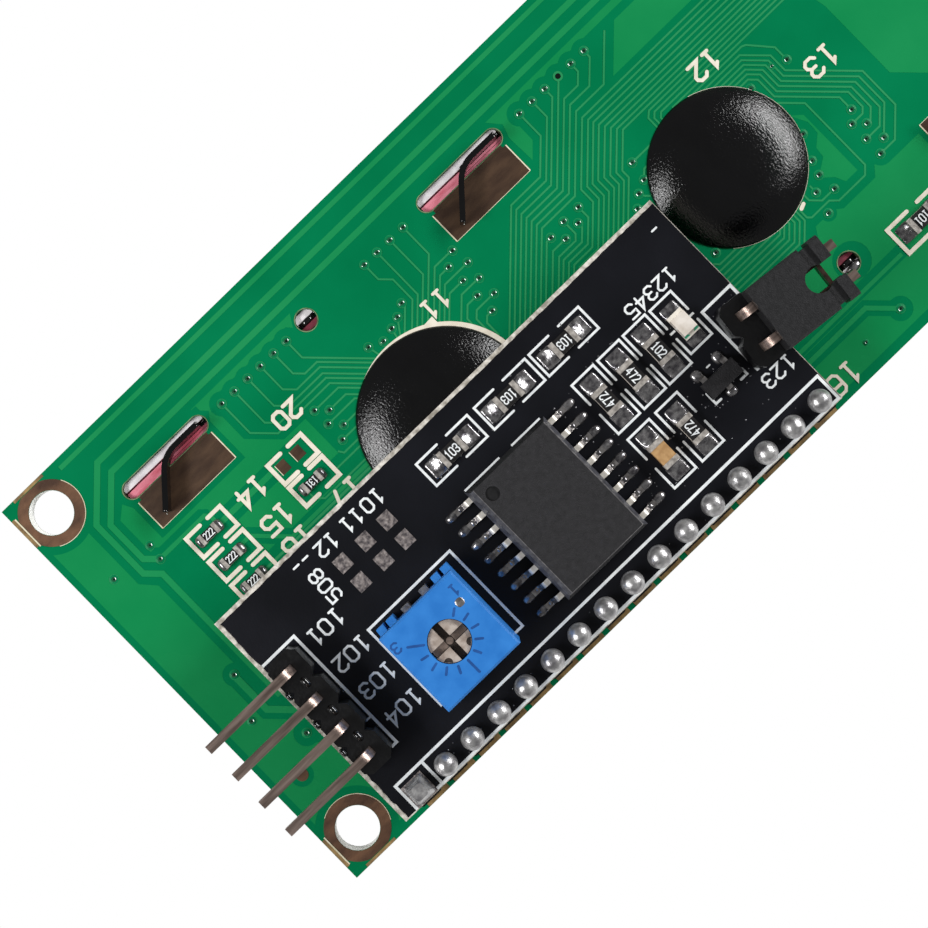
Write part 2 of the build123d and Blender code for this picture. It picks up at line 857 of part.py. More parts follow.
# Power light: a white base with its lens
led_plane = part_plane(*on_adapter(led_place), adapter_top + solder_film, True)
with BuildPart() as power_led:
    with BuildSketch(led_plane):
        Rectangle(large_length, large_width)
    extrude(amount=led_base_height)
write_part(power_led, "power_led")

with BuildPart() as power_led_lens:
    with BuildSketch(led_plane.offset(led_base_height)):
        Rectangle(led_lens_length, large_width)
    extrude(amount=led_lens_height, taper=led_lens_taper)
write_part(power_led_lens, "power_led_lens")

# Backlight transistor
transistor_plane = part_plane(transistor_x, transistor_y, adapter_top, False)
transistor_level = transistor_height / 2
with BuildPart() as transistor_body:
    moulded_body(
        transistor_plane,
        transistor_length,
        transistor_width,
        transistor_standoff,
        transistor_height,
        transistor_band,
        transistor_level,
        transistor_taper,
    )
write_part(transistor_body, "transistor_body")

with BuildPart() as transistor_leads:
    transistor_places = [
        (-transistor_lead_pitch / 2, transistor_width / 2),
        (transistor_lead_pitch / 2, transistor_width / 2),
        (0, -transistor_width / 2),
    ]
    gull_leads(
        transistor_plane,
        transistor_lead_span,
        transistor_standoff + transistor_level,
        transistor_lead_shoulder,
        transistor_lead_foot,
        transistor_lead_bend,
        transistor_lead_thickness,
        transistor_lead_width,
        transistor_places,
    )
write_part(transistor_leads, "transistor_leads")

# Resistors and the capacitor on the adapter board
for number, (across, up, along_y) in enumerate(adapter_resistors, start=1):
    x, y = on_adapter((across, up))
    with BuildPart() as adapter_resistor:
        small_part(
            part_plane(x, y, adapter_top + solder_film, along_y),
            large_length,
            large_width,
            large_height,
            large_end,
        )
    write_part(adapter_resistor, f"adapter_resistor_{number}")

with BuildPart() as adapter_capacitor:
    small_part(
        part_plane(*on_adapter(capacitor_place), adapter_top + solder_film, True),
        large_length,
        large_width,
        capacitor_height,
        large_end,
    )
write_part(adapter_capacitor, "adapter_capacitor")

# Four-pin bus header and two-pin jumper header
with BuildPart() as bus_header_strip:
    header_strip_on(Plane((bus_x, bus_y, adapter_top), x_dir=(0, 1, 0), z_dir=(0, 0, 1)), bus_count)
write_part(bus_header_strip, "bus_header_strip")

with BuildPart() as bus_header_pins:
    bent_pins(bus_plane, bus_count, bus_reach)
write_part(bus_header_pins, "bus_header_pins")

with BuildPart() as jumper_header_strip:
    across = jumper_plane.y_dir
    header_strip_on(Plane(jumper_plane.origin, x_dir=across, z_dir=(0, 0, 1)), jumper_count)
write_part(jumper_header_strip, "jumper_header_strip")

with BuildPart() as jumper_header_pins:
    bent_pins(jumper_plane, jumper_count, jumper_reach)
write_part(jumper_header_pins, "jumper_header_pins")

# Solder on the adapter's underside, around every pin that comes through from its back
with BuildPart() as adapter_underside_solder:
    for x, y in bus_places + trimmer_pin_places:
        hole = pin_width if (x, y) in bus_places else trimmer_pin_width
        solder_cone(x, y, adapter_bottom, -1, hole)
    for x, y in jumper_places:
        with BuildSketch(Plane.XY.offset(adapter_bottom)):
            with Locations((x, y)):
                Circle(fillet_radius)
        with BuildSketch(Plane.XY.offset(adapter_bottom - fillet_height)):
            with Locations((x, y)):
                Circle(fillet_neck)
        loft()
    with BuildSketch(jumper_plane.offset(-adapter_thickness)):
        with GridLocations(pin_pitch, pin_pitch, 1, jumper_count):
            Rectangle(pin_width, pin_width)
    extrude(amount=-fillet_height, mode=Mode.SUBTRACT)
write_part(adapter_underside_solder, "adapter_underside_solder")

# Jumper cap and its contact, built along the jumper pins
cap_plane = jumper_plane.offset(row_pin_height)
channel_inner = pin_pitch / 2 - pin_width / 2 - contact_gap - contact_thickness - contact_gap
channel_outer = pin_pitch / 2 + pin_width / 2 + cap_channel_clearance
cap_end = cap_start + cap_length + ear_length
with BuildPart() as jumper_cap:
    with BuildSketch(cap_plane.offset(-cap_thickness / 2)):
        with Locations((cap_start + (cap_length + ear_length) / 2, 0)):
            Rectangle(cap_length + ear_length, cap_width)
    extrude(amount=cap_thickness)
    chamfer(jumper_cap.edges().filter_by(Axis(cap_plane.origin, cap_plane.x_dir)), length=cap_edge)
    groove_x = cap_start + cap_length + ear_groove / 2
    with BuildSketch(section_plane(cap_plane, groove_x)):
        Rectangle(cap_width, cap_thickness)
        Rectangle(cap_width - 2 * ear_groove_depth, cap_thickness - 2 * ear_groove_depth, mode=Mode.SUBTRACT)
    extrude(amount=ear_groove / 2, both=True, mode=Mode.SUBTRACT)
    with BuildSketch(cap_plane.offset(-cap_thickness / 2)):
        with Locations((cap_start + cap_length, 0)):
            Circle(cap_notch_radius)
        with Locations((cap_start + cap_length + ear_length / 2, 0)):
            Rectangle(ear_length, 2 * channel_inner)
    extrude(amount=cap_thickness, mode=Mode.SUBTRACT)
    with BuildSketch(section_plane(cap_plane, cap_start)):
        with GridLocations(channel_outer + channel_inner, cap_channel_height, 2, 1):
            Rectangle(channel_outer - channel_inner, cap_channel_height)
    extrude(amount=cap_length + ear_length, mode=Mode.SUBTRACT)
write_part(jumper_cap, "jumper_cap")

with BuildPart() as jumper_contact:
    arm_outer = channel_inner + contact_gap + contact_thickness
    web_end = cap_end - contact_web_setback
    with BuildSketch(cap_plane.offset(-contact_height / 2)):
        with Locations(((contact_start + web_end) / 2, 0)):
            Rectangle(web_end - contact_start, 2 * arm_outer)
        with Locations(((contact_start + web_end) / 2 - contact_thickness * 2, 0)):
            Rectangle(web_end - contact_start, 2 * (arm_outer - contact_thickness), mode=Mode.SUBTRACT)
    extrude(amount=contact_height)
write_part(jumper_contact, "jumper_contact")
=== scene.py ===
import random
from math import atan2, copysign, cos, degrees, hypot, pi, radians, sin

import bpy
from mathutils import Matrix, Vector
from mathutils.geometry import delaunay_2d_cdt


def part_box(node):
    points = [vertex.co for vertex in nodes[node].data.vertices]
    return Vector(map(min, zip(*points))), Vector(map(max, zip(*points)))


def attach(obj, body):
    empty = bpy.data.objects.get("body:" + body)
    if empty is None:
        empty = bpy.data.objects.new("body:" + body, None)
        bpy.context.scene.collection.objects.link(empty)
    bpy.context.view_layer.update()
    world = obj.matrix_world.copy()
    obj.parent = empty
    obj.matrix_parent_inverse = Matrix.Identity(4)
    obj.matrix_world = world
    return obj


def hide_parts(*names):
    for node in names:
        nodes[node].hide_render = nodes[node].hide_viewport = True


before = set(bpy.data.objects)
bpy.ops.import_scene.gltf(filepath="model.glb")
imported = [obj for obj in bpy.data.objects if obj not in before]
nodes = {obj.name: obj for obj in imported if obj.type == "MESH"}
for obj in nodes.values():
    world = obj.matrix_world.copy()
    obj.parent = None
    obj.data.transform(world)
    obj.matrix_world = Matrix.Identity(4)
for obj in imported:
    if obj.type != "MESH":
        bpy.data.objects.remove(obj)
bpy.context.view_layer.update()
random.seed(7)

# Places and levels in millimetres, as in the part's source
MM = 0.001
HALF_LENGTH, HALF_WIDTH, TOP = 40, 18, 1.6
HOLE_X, HOLE_Y = 37.5, 15.5
RING_HOLE, RING_PAD = 1.62, 2.39
RINGS = [(x, y) for x in (-HOLE_X, HOLE_X) for y in (-HOLE_Y, HOLE_Y)]
SLOTS = [(step * 29.0, 0.8 + upper * 11.9, upper) for step in (-1, 0, 1) for upper in (1, -1)]
SLOT_REACH, SLOT_RADIUS = 3.25, 0.67
NIBS = [(-15.1, 12.7), (15.1, -11.1)]
NIB_HOLE = 0.8
BLOBS = [("epoxy_blob_1", -12.76, 0.83, 6.46), ("epoxy_blob_2", 13.65, -0.33, 5.7)]
BLOB_HEIGHT, BLOB_EDGE = 1.35, 0.06
PITCH = 2.54
HEADER_X = [-31.9 + PITCH * n for n in range(16)]
HEADER_Y = -16.2
HEADER_PAD, HEADER_HOLE = 0.9, 0.5

ADAPTER = (-34.1, 7.5, -17.15, 1.7)
ADAPTER_TOP, ADAPTER_THICKNESS = 5.74, 1.6
CHIP_X, CHIP_Y, CHIP_HEIGHT = -11.8, -8.88, 2.3
CHIP_LEADS, LEAD_PITCH = 8, 1.27
DIMPLE = (-14.175, -5.155)
LED_X, LED_Y = 3.2, -5.95
DIAL_X, DIAL_Y, TRIMMER_HEIGHT = -23.0, -10.12, 4.84
BUS_PIN_ENDS, JUMPER_PIN_ENDS = -39.2, 13.1

# Chip parts: place, whether they lie along y, and their length with that of a metal end
SMALL, LARGE = (1.6, 0.3), (2.0, 0.38)
DISPLAY_RESISTORS = [(-30.5, 6.65), (-30.5, 4.37), (-30.5, 2.12), (-22.75, 4.2)]
LARGE_RESISTOR = (20.85, -12.4)
ADAPTER_RESISTORS = [
    (-14.15, -1.2, False), (-8.8, -1.2, False), (-3.5, -1.2, False),
    (-4.15, -6.05, True), (-1.7, -6.05, True), (0.75, -6.05, True), (-1.35, -11.5, True),
]
CAPACITOR = (-3.95, -11.3, True)


# Materials

def srgb(red, green, blue):
    """A colour picked as 0 to 255 screen values, turned into the shader's linear values."""
    def linear(c):
        c /= 255
        return c / 12.92 if c <= 0.04045 else ((c + 0.055) / 1.055) ** 2.4
    return (linear(red), linear(green), linear(blue), 1.0)


def fill(node, **values):
    """Sets a shader node's inputs, each named with _ for a space."""
    for key, value in values.items():
        node.inputs[key.replace("_", " ")].default_value = value
    return node


def look(name, light, dark, scale=400, rough=(0.4, 0.5), metallic=0.0, bump=0.0, grain=3000,
         stretch=(1, 1, 1), coat=0.0, specular=0.5):
    """A material whose colour and roughness wander between two values, with a fine bump."""
    made = bpy.data.materials.new(name)
    made.use_nodes = True
    tree = made.node_tree
    new, join = tree.nodes.new, tree.links.new
    shader = fill(tree.nodes["Principled BSDF"], Metallic=metallic, Specular_IOR_Level=specular,
                  Coat_Weight=coat, Coat_Roughness=0.12)
    place = new("ShaderNodeTexCoord")
    mapping = fill(new("ShaderNodeMapping"), Scale=stretch)
    join(place.outputs["Object"], mapping.inputs["Vector"])
    noise = fill(new("ShaderNodeTexNoise"), Scale=scale, Detail=4)
    join(mapping.outputs["Vector"], noise.inputs["Vector"])
    ramp = new("ShaderNodeValToRGB")
    for stop, position, colour in zip(ramp.color_ramp.elements, (0.35, 0.65), (dark, light)):
        stop.position = position
        stop.color = srgb(*colour)
    join(noise.outputs["Fac"], ramp.inputs["Fac"])
    join(ramp.outputs["Color"], shader.inputs["Base Color"])
    spread = fill(new("ShaderNodeMapRange"), To_Min=rough[0], To_Max=rough[1])
    join(noise.outputs["Fac"], spread.inputs["Value"])
    join(spread.outputs["Result"], shader.inputs["Roughness"])
    if bump:
        grit = fill(new("ShaderNodeTexNoise"), Scale=grain, Detail=3)
        join(mapping.outputs["Vector"], grit.inputs["Vector"])
        relief = fill(new("ShaderNodeBump"), Strength=bump, Distance=0.0001)
        join(grit.outputs["Fac"], relief.inputs["Height"])
        join(relief.outputs["Normal"], shader.inputs["Normal"])
    return made


def green_mask(name, light, dark, specular, grain=3000):
    """The solder mask of the display board over one kind of ground."""
    return look(name, light, dark, 120, (0.24, 0.3), bump=0.05, grain=grain, specular=specular)


MASK = green_mask("mask_bare", (2, 122, 76), (0, 112, 68), 0.06, 6000)
COPPER_MASK = green_mask("mask_over_copper", (25, 138, 79), (14, 129, 72), 0.06)
TRACE_MASK = green_mask("mask_over_traces", (48, 144, 91), (37, 136, 83), 0.15)
WIDE_MASK = green_mask("mask_over_wide_traces", (33, 142, 84), (22, 134, 77), 0.08)
CREAM = look("cream_ink", (236, 228, 212), (222, 212, 194), 1500, (0.5, 0.62), bump=0.15,
             specular=0.2)
COPPER = look("bare_copper", (116, 82, 58), (72, 48, 34), 420, (0.4, 0.55), 0.3, 0.12, 4000,
              stretch=(1, 2, 1))
PAD_COPPER = look("oxidised_copper", (82, 60, 42), (62, 43, 30), 500, (0.4, 0.55), 0.3, 0.1, 4000,
                  stretch=(1, 3, 1))
BARE_FIBRE = look("bare_glass_fibre", (158, 128, 78), (108, 84, 48), 1200, (0.5, 0.65), bump=0.3,
                  grain=8000)
HOLE_WALL = look("drilled_walls", (92, 82, 58), (52, 46, 34), 1800, (0.5, 0.65), bump=0.4,
                 grain=6000)
PALE_WALL = look("ring_walls", (252, 252, 250), (236, 236, 230), 900, (0.5, 0.6))
DULL_RIM = look("cut_rim", (150, 160, 122), (84, 104, 70), 1500, (0.5, 0.6))
# Painted highlight: pale lines where the mask's edge meets bare copper
MASK_EDGE_HIGHLIGHT = look("mask_edge_painted_highlight", (236, 228, 204), (212, 202, 168), 1500, (0.4, 0.5))
VIA_DARK = look("via_dimple", (2, 16, 10), (0, 7, 4), 3000, (0.12, 0.2))
VIA_LAND = look("via_land", (14, 130, 80), (6, 118, 72), 1500, (0.3, 0.36), specular=0.06)
VIA_RIM = look("via_meniscus", (4, 96, 60), (2, 84, 52), 3000, (0.07, 0.11), specular=0.9, coat=0.6)
BLACK_MASK = look("adapter_mask", (18, 19, 25), (11, 12, 17), 160, (0.34, 0.44), bump=0.12,
                  grain=7000, specular=0.2)
ADAPTER_FIBRE = look("adapter_cut_edge", (228, 222, 212), (146, 139, 127), 2200, (0.6, 0.75),
                     bump=0.8, grain=4000)
WHITE_INK = look("white_ink", (240, 243, 243), (222, 226, 228), 2000, (0.5, 0.6), bump=0.15)
BEZEL_PAINT = look("bezel_paint", (8, 8, 9), (4, 4, 5), 900, (0.1, 0.2), bump=0.25, grain=5000)
CUT_STEEL = look("cut_steel", (252, 248, 250), (226, 220, 224), 1400, (0.4, 0.55), 0.0, 0.2)
EPOXY = look("blob_epoxy", (4, 4, 5), (2, 2, 3), 900, (0.13, 0.18), bump=0.4, grain=7500,
             stretch=(1, 0.6, 1), specular=0.5)
LUMP_BLACK = look("burnt_flux", (8, 8, 9), (4, 4, 5), 900, (0.08, 0.14), coat=0.5)
TIN = look("tin", (196, 192, 190), (140, 136, 134), 2600, (0.22, 0.36), 0.9, 0.25, 4000)
PAD_TIN = look("pad_tin", (176, 166, 162), (96, 90, 92), 3600, (0.3, 0.5), 0.7, 0.6, 5000)
SOLDER = look("solder", (176, 174, 174), (92, 90, 94), 2400, (0.16, 0.32), 0.85, 0.4, 2600)
BALL_SOLDER = look("ball_solder", (206, 205, 204), (146, 144, 146), 1800, (0.3, 0.42), 0.8, 0.5,
                   2600)
END_METAL = look("resistor_ends", (204, 198, 190), (146, 140, 134), 3000, (0.35, 0.5), 0.4, 0.3,
                 5000)
PIN_METAL = look("pin_metal", (172, 152, 142), (122, 106, 98), 900, (0.26, 0.38), 0.85, 0.12, 5000,
                 stretch=(0.3, 4, 4))
# Painted highlight: a pale colour for the pin tips, standing in for light caught by their ends
PIN_TIP_HIGHLIGHT = look("pin_tip_painted_highlight", (236, 228, 216), (206, 194, 180), 2400, (0.3, 0.4), 0.6, 0.1)
STRIP_BLACK = look("header_moulding", (8, 8, 10), (4, 4, 5), 1800, (0.24, 0.36), bump=0.3,
                   grain=4000)
CAP_BLACK = look("cap_moulding", (28, 28, 30), (18, 18, 20), 3600, (0.42, 0.52), bump=0.25,
                 grain=9000)
CHIP_BLACK = look("chip_moulding", (29, 28, 31), (17, 16, 19), 2600, (0.5, 0.62), bump=0.45,
                  grain=9000)
# Painted highlight on the chip's long sides and top edges; the darker dimple colour also paints
# shade on its upper end
CHIP_SIDE_HIGHLIGHT = look("chip_sides_painted_highlight", (74, 75, 82), (48, 48, 54), 2600, (0.4, 0.52), bump=0.45, grain=9000)
CHIP_DIMPLE_AND_END_SHADE = look("chip_dimple_and_end_shade", (12, 12, 14), (6, 6, 8), 2600, (0.4, 0.52), bump=0.3)
CHIP_EDGE_HIGHLIGHT = look("chip_edge_painted_highlight", (118, 116, 116), (74, 72, 74), 2600, (0.4, 0.5))
# Painted highlight: a near-white colour for the upward faces of the lead shoulders, standing in for
# the light they catch
LEAD_HIGHLIGHT = look("lead_shoulder_painted_highlight", (250, 246, 236), (222, 214, 202), 2600, (0.3, 0.4), 0.3)
RESISTOR_GLAZE = look("resistor_glaze", (30, 28, 28), (18, 16, 16), 2400, (0.3, 0.42), bump=0.2)
CERAMIC = look("ceramic", (222, 216, 206), (196, 190, 180), 2400, (0.5, 0.6), bump=0.2)
CAPACITOR_TAN = look("capacitor_body", (190, 152, 104), (164, 126, 82), 2400, (0.4, 0.5), bump=0.2)
TRIMMER_BLUE = look("trimmer_blue", (52, 130, 210), (40, 116, 196), 600, (0.36, 0.46), bump=0.1,
                    grain=6000, specular=0.3)
# Painted shade: a darker blue for the trimmer's dial marks, standing in for shade in their grooves
TRIMMER_GROOVE_SHADE = look("trimmer_relief_painted_shade", (26, 84, 156), (20, 72, 138), 1200, (0.4, 0.5))
ROTOR_BEIGE = look("rotor_moulding", (184, 172, 162), (142, 127, 116), 1800, (0.42, 0.54),
                   bump=0.25)
# Painted light and shade on the rotor: a lit slot floor, and shaded slot floors and notches
ROTOR_SLOT_LIGHT = look("rotor_slot_painted_light", (136, 120, 110), (98, 84, 76), 1800, (0.4, 0.5))
ROTOR_SHADE = look("rotor_slot_painted_shade", (60, 50, 44), (36, 30, 27), 1800, (0.4, 0.5))
LED_WHITE = look("led_base", (240, 234, 222), (216, 208, 196), 1600, (0.4, 0.5), bump=0.15)
LED_LENS = look("led_lens", (246, 238, 228), (218, 206, 192), 1100, (0.14, 0.24), coat=0.6)
LED_GREEN = look("led_mark", (64, 178, 140), (36, 136, 100), 1600, (0.5, 0.6))
ZEBRA = look("zebra_rubber", (252, 158, 176), (214, 92, 112), 420, (0.45, 0.6), bump=0.2,
             stretch=(1, 4, 1))
# Painted shade: a dark pink for shaded parts of the zebra rubber
ZEBRA_SHADE = look("zebra_painted_shade", (142, 52, 70), (104, 32, 48), 800, (0.5, 0.6))
FRAME_WHITE = look("frame_moulding", (232, 232, 228), (214, 214, 210), 800, (0.45, 0.55), bump=0.1)
FILM = look("film", (240, 240, 238), (224, 224, 222), 600, (0.4, 0.5))
GUIDE = look("guide_acrylic", (226, 232, 226), (208, 216, 208), 600, (0.12, 0.2))
FRONT_FILM = look("front_polarizer_film", (104, 122, 58), (92, 110, 50), 160, (0.1, 0.16),
                  bump=0.03, coat=0.4)
CELL = look("character_cell", (92, 108, 48), (82, 97, 42), 160, (0.1, 0.16), coat=0.4)
GLASS_EDGE = look("glass_plate", (186, 204, 178), (168, 188, 160), 300, (0.05, 0.1))
WIPER_METAL = look("wiper_metal", (150, 128, 104), (104, 86, 70), 1800, (0.2, 0.32), 0.95)
CONTACT_DARK = look("contact_metal", (74, 58, 48), (44, 34, 28), 1800, (0.3, 0.42), 0.6)
FLUX = look("flux_residue", (150, 150, 154), (70, 70, 74), 2600, (0.06, 0.14), 0.3, coat=1.0)


# CAD nodes: materials only

def paint(name, *materials, choose=None):
    """Gives a CAD node its materials, and each face the one that choose picks for it."""
    mesh = nodes[name].data
    mesh.materials.clear()
    for made in materials:
        mesh.materials.append(made)
    for face in mesh.polygons:
        index = 0
        if choose:
            centre = face.center / MM
            index = choose(centre.x, centre.y, centre.z, face.normal)
        face.material_index = index


def board_face(x, y, z, normal):
    """The faces of the board are masked, its rim is green and the walls of its holes are bare."""
    if abs(normal.z) > 0.9:
        return 0
    if abs(abs(x) - HALF_LENGTH) < 0.02 or abs(abs(y) - HALF_WIDTH) < 0.02:
        return 1
    in_ring = hypot(abs(x) - HOLE_X, abs(y) - HOLE_Y) < RING_HOLE + 0.18
    return 3 if in_ring else 2


def paint_chip_part(name, body, x, y, along_y, size):
    """Ends of a chip part are metal, its top has the body's look and its sides are ceramic on a
    resistor and have the body's look otherwise.
    """
    length, end = size

    def choose(px, py, z, normal):
        along = abs((py - y) if along_y else (px - x))
        if along > length / 2 - end - 0.01:
            return 1
        return 0 if normal.z > 0.9 else 2
    paint(name, body, END_METAL, CERAMIC if body is RESISTOR_GLAZE else body, choose=choose)


paint("lcd_board", MASK, COPPER_MASK, HOLE_WALL, PALE_WALL, choose=board_face)
paint("adapter_board", ADAPTER_FIBRE)
for made, names in (
    (BEZEL_PAINT, ["bezel"]),
    (FRONT_FILM, ["front_polarizer"]),
    (GLASS_EDGE, ["front_glass", "rear_glass"]),
    (FILM, ["rear_polarizer", "diffuser_film", "reflector_film"]),
    (FRAME_WHITE, ["backlight_frame"]),
    (GUIDE, ["light_guide"]),
    (MASK, ["backlight_board"]),
    (LED_LENS, ["backlight_leds", "power_led_lens"]),
    (TIN, ["backlight_leads", "transistor_leads", "trimmer_pins"]),
    (BALL_SOLDER, ["adapter_header_solder"]),
    (SOLDER, ["backlight_solder", "display_header_solder", "adapter_underside_solder"]),
    (ZEBRA, ["zebra_strip_upper", "zebra_strip_lower"]),
    (STRIP_BLACK, ["header_strip", "bus_header_strip", "jumper_header_strip"]),
    (CAP_BLACK, ["jumper_cap"]),
    (PIN_METAL, ["header_pins"]),
    (CHIP_BLACK, ["transistor_body"]),
    (TRIMMER_BLUE, ["trimmer_housing"]),
    (CERAMIC, ["trimmer_element"]),
    (WIPER_METAL, ["trimmer_wiper"]),
    (CONTACT_DARK, ["jumper_contact"]),
):
    for name in names:
        paint(name, made)


CHIP_PARTING, LEAD_SHOULDER, ROTOR_SLOT_FLOOR = 6.9, 6.85, 10.35


def chip_face(x, y, z, normal):
    """The long sides of the chip's upper half are paler as a painted highlight; its dimple is
    darker, and so is its upper end, as painted shade.
    """
    in_dimple = z > 7.9 and hypot(x - DIMPLE[0], y - DIMPLE[1]) < 0.52
    if in_dimple or normal.y > 0.9 and z > CHIP_PARTING:
        return 2
    return 1 if abs(normal.x) > 0.9 and z > CHIP_PARTING else 0


paint("expander_chip", CHIP_BLACK, CHIP_SIDE_HIGHLIGHT, CHIP_DIMPLE_AND_END_SHADE, choose=chip_face)
# The upward faces of the lead shoulders get the painted highlight colour
paint("expander_leads", TIN, LEAD_HIGHLIGHT,
      choose=lambda x, y, z, n: 1 if z > LEAD_SHOULDER and n.z > 0.3 else 0)
# The pins' tips get the painted highlight colour
for name in ("bus_header_pins", "jumper_header_pins"):
    paint(name, PIN_METAL, PIN_TIP_HIGHLIGHT,
          choose=lambda x, y, z, n: 1 if x < BUS_PIN_ENDS or x > JUMPER_PIN_ENDS else 0)
# The rotor's slot floors get the painted shade colour
paint("trimmer_rotor", ROTOR_BEIGE, ROTOR_SHADE,
      choose=lambda x, y, z, n: 1 if z < ROTOR_SLOT_FLOOR and n.z > 0.5 else 0)
paint("power_led", LED_WHITE, TIN, choose=lambda x, y, z, n: 1 if abs(n.y) > 0.9 else 0)
for number, place in enumerate(DISPLAY_RESISTORS, start=1):
    paint_chip_part(f"display_resistor_{number}", RESISTOR_GLAZE, *place, False, SMALL)
paint_chip_part("display_resistor_5", RESISTOR_GLAZE, *LARGE_RESISTOR, False, LARGE)
for number, place in enumerate(ADAPTER_RESISTORS, start=1):
    paint_chip_part(f"adapter_resistor_{number}", RESISTOR_GLAZE, *place, LARGE)
paint_chip_part("adapter_capacitor", CAPACITOR_TAN, *CAPACITOR, LARGE)


# Flat shapes laid on a face

def offset_line(points, shift):
    """The line moved sideways by the shift, with its corners mitred."""
    moved = []
    for n, here in enumerate(points):
        here = Vector(here)
        ways = []
        if n > 0:
            ways.append((here - Vector(points[n - 1])).normalized())
        if n < len(points) - 1:
            ways.append((Vector(points[n + 1]) - here).normalized())
        sides = [Vector((-w.y, w.x)) for w in ways]
        side = sum(sides, Vector((0, 0))).normalized()
        moved.append(here + side * shift / max(0.3, side.dot(sides[0])))
    return moved


class Layer:
    """Flat shapes in millimetres, standing from one level to another, merged into one mesh."""

    def __init__(self, name, low, high, made, body="module", slot="lcd_board"):
        self.name, self.low, self.high = name, low, high
        self.made, self.body, self.slot = made, body, slot
        self.shapes, self.cuts = [], []

    def polygon(self, points, cut=False):
        """Adds an outline, turned anticlockwise, to the shapes or to the cuts."""
        following = list(points[1:]) + [points[0]]
        area = sum(a[0] * b[1] - b[0] * a[1] for a, b in zip(points, following))
        points = [Vector(p).to_2d() for p in points]
        (self.cuts if cut else self.shapes).append(points if area > 0 else points[::-1])

    def box(self, x0, x1, y0, y1, cut=False):
        (x0, x1), (y0, y1) = sorted((x0, x1)), sorted((y0, y1))
        self.polygon([(x0, y0), (x1, y0), (x1, y1), (x0, y1)], cut)

    def disc(self, x, y, radius, sides=20, cut=False):
        turn = [2 * pi * n / sides for n in range(sides)]
        self.polygon([(x + radius * cos(a), y + radius * sin(a)) for a in turn], cut)

    def line(self, points, width, round_ends=False, cut=False):
        left, right = offset_line(points, width / 2), offset_line(points, -width / 2)
        for n in range(len(points) - 1):
            self.polygon([right[n], right[n + 1], left[n + 1], left[n]], cut)
        if round_ends:
            for x, y in (points[0], points[-1]):
                self.disc(x, y, width / 2, 10, cut)

    def arc(self, x, y, radius, start, end, width, sides=24):
        turn = [radians(start + (end - start) * n / sides) for n in range(sides + 1)]
        points = [(x + radius * cos(a), y + radius * sin(a)) for a in turn]
        self.line(points, width)

    def build(self, without=()):
        """Keeps what lies in a shape and in no cut, and gives it a top and walls."""
        outlines = self.shapes + self.cuts + list(without)
        verts, faces = [], []
        for points in outlines:
            faces.append(list(range(len(verts), len(verts) + len(points))))
            verts += points
        flat, _, found, _, _, origins = delaunay_2d_cdt(verts, [], faces, 1, 1e-5, True)
        kept = [f for f, origin in zip(found, origins) if origin and max(origin) < len(self.shapes)]
        used = {}
        for face in kept:
            for v in face:
                used.setdefault(v, len(used))
        count = len(used)
        order = sorted(used, key=used.get)
        solid = [(flat[v].x * MM, flat[v].y * MM, self.high * MM) for v in order]
        solid += [(flat[v].x * MM, flat[v].y * MM, self.low * MM) for v in order]
        top = [[used[v] for v in face] for face in kept]
        edges = {(face[n - 1], face[n]) for face in top for n in range(len(face))}
        walls = [[a, a + count, b + count, b] for a, b in sorted(edges) if (b, a) not in edges]
        return add_mesh(self.name, solid, top + walls, self.made, self.body)


def board_layer(name, height, made):
    """A layer that stands up to a height above the back of the display board."""
    return Layer(name, TOP - 0.01, TOP + height, made)


def adapter_layer(name, low, high, made, slot="adapter_board", body="module"):
    """A layer between two heights above the back of the adapter board."""
    return Layer(name, ADAPTER_TOP + low, ADAPTER_TOP + high, made, body, slot)


def add_mesh(name, verts, faces, made, body="module", smooth=False):
    """A mesh in metres that rides on a body."""
    mesh = bpy.data.meshes.new(name)
    mesh.from_pydata(verts, [], faces)
    mesh.materials.append(made)
    mesh.update()
    for face in mesh.polygons:
        face.use_smooth = smooth
    added = bpy.data.objects.new(name, mesh)
    bpy.context.scene.collection.objects.link(added)
    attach(added, body)
    return added


# Plain numbers drawn as strokes on a grid four wide and six high
DIGITS = {
    "0": [[(0, 1), (0, 5), (1, 6), (3, 6), (4, 5), (4, 1), (3, 0), (1, 0), (0, 1)]],
    "1": [[(0.9, 5), (2, 6), (2, 0)], [(0.9, 0), (3.1, 0)]],
    "2": [[(0, 5), (1, 6), (3, 6), (4, 5), (4, 4), (0, 0), (4, 0)]],
    "3": [[(0, 5), (1, 6), (3, 6), (4, 5), (4, 4), (3, 3), (1.4, 3)],
          [(3, 3), (4, 2), (4, 1), (3, 0), (1, 0), (0, 1)]],
    "4": [[(3, 0), (3, 6), (0, 2), (4, 2)]],
    "5": [[(4, 6), (0, 6), (0, 3.5), (3, 3.5), (4, 2.5), (4, 1), (3, 0), (1, 0), (0, 1)]],
    "6": [[(4, 5), (3, 6), (1, 6), (0, 5), (0, 1), (1, 0), (3, 0), (4, 1), (4, 2.5), (3, 3.5),
           (0, 3.5)]],
    "7": [[(0, 6), (4, 6), (1.5, 0)]],
    "8": [[(1, 3), (0, 4), (0, 5), (1, 6), (3, 6), (4, 5), (4, 4), (3, 3), (1, 3), (0, 2), (0, 1),
           (1, 0), (3, 0), (4, 1), (4, 2), (3, 3)]],
    "9": [[(0, 1), (1, 0), (3, 0), (4, 1), (4, 5), (3, 6), (1, 6), (0, 5), (0, 3.5), (1, 2.5),
           (4, 2.5)]],
    "-": [[(0.5, 3), (3.5, 3)]],
}


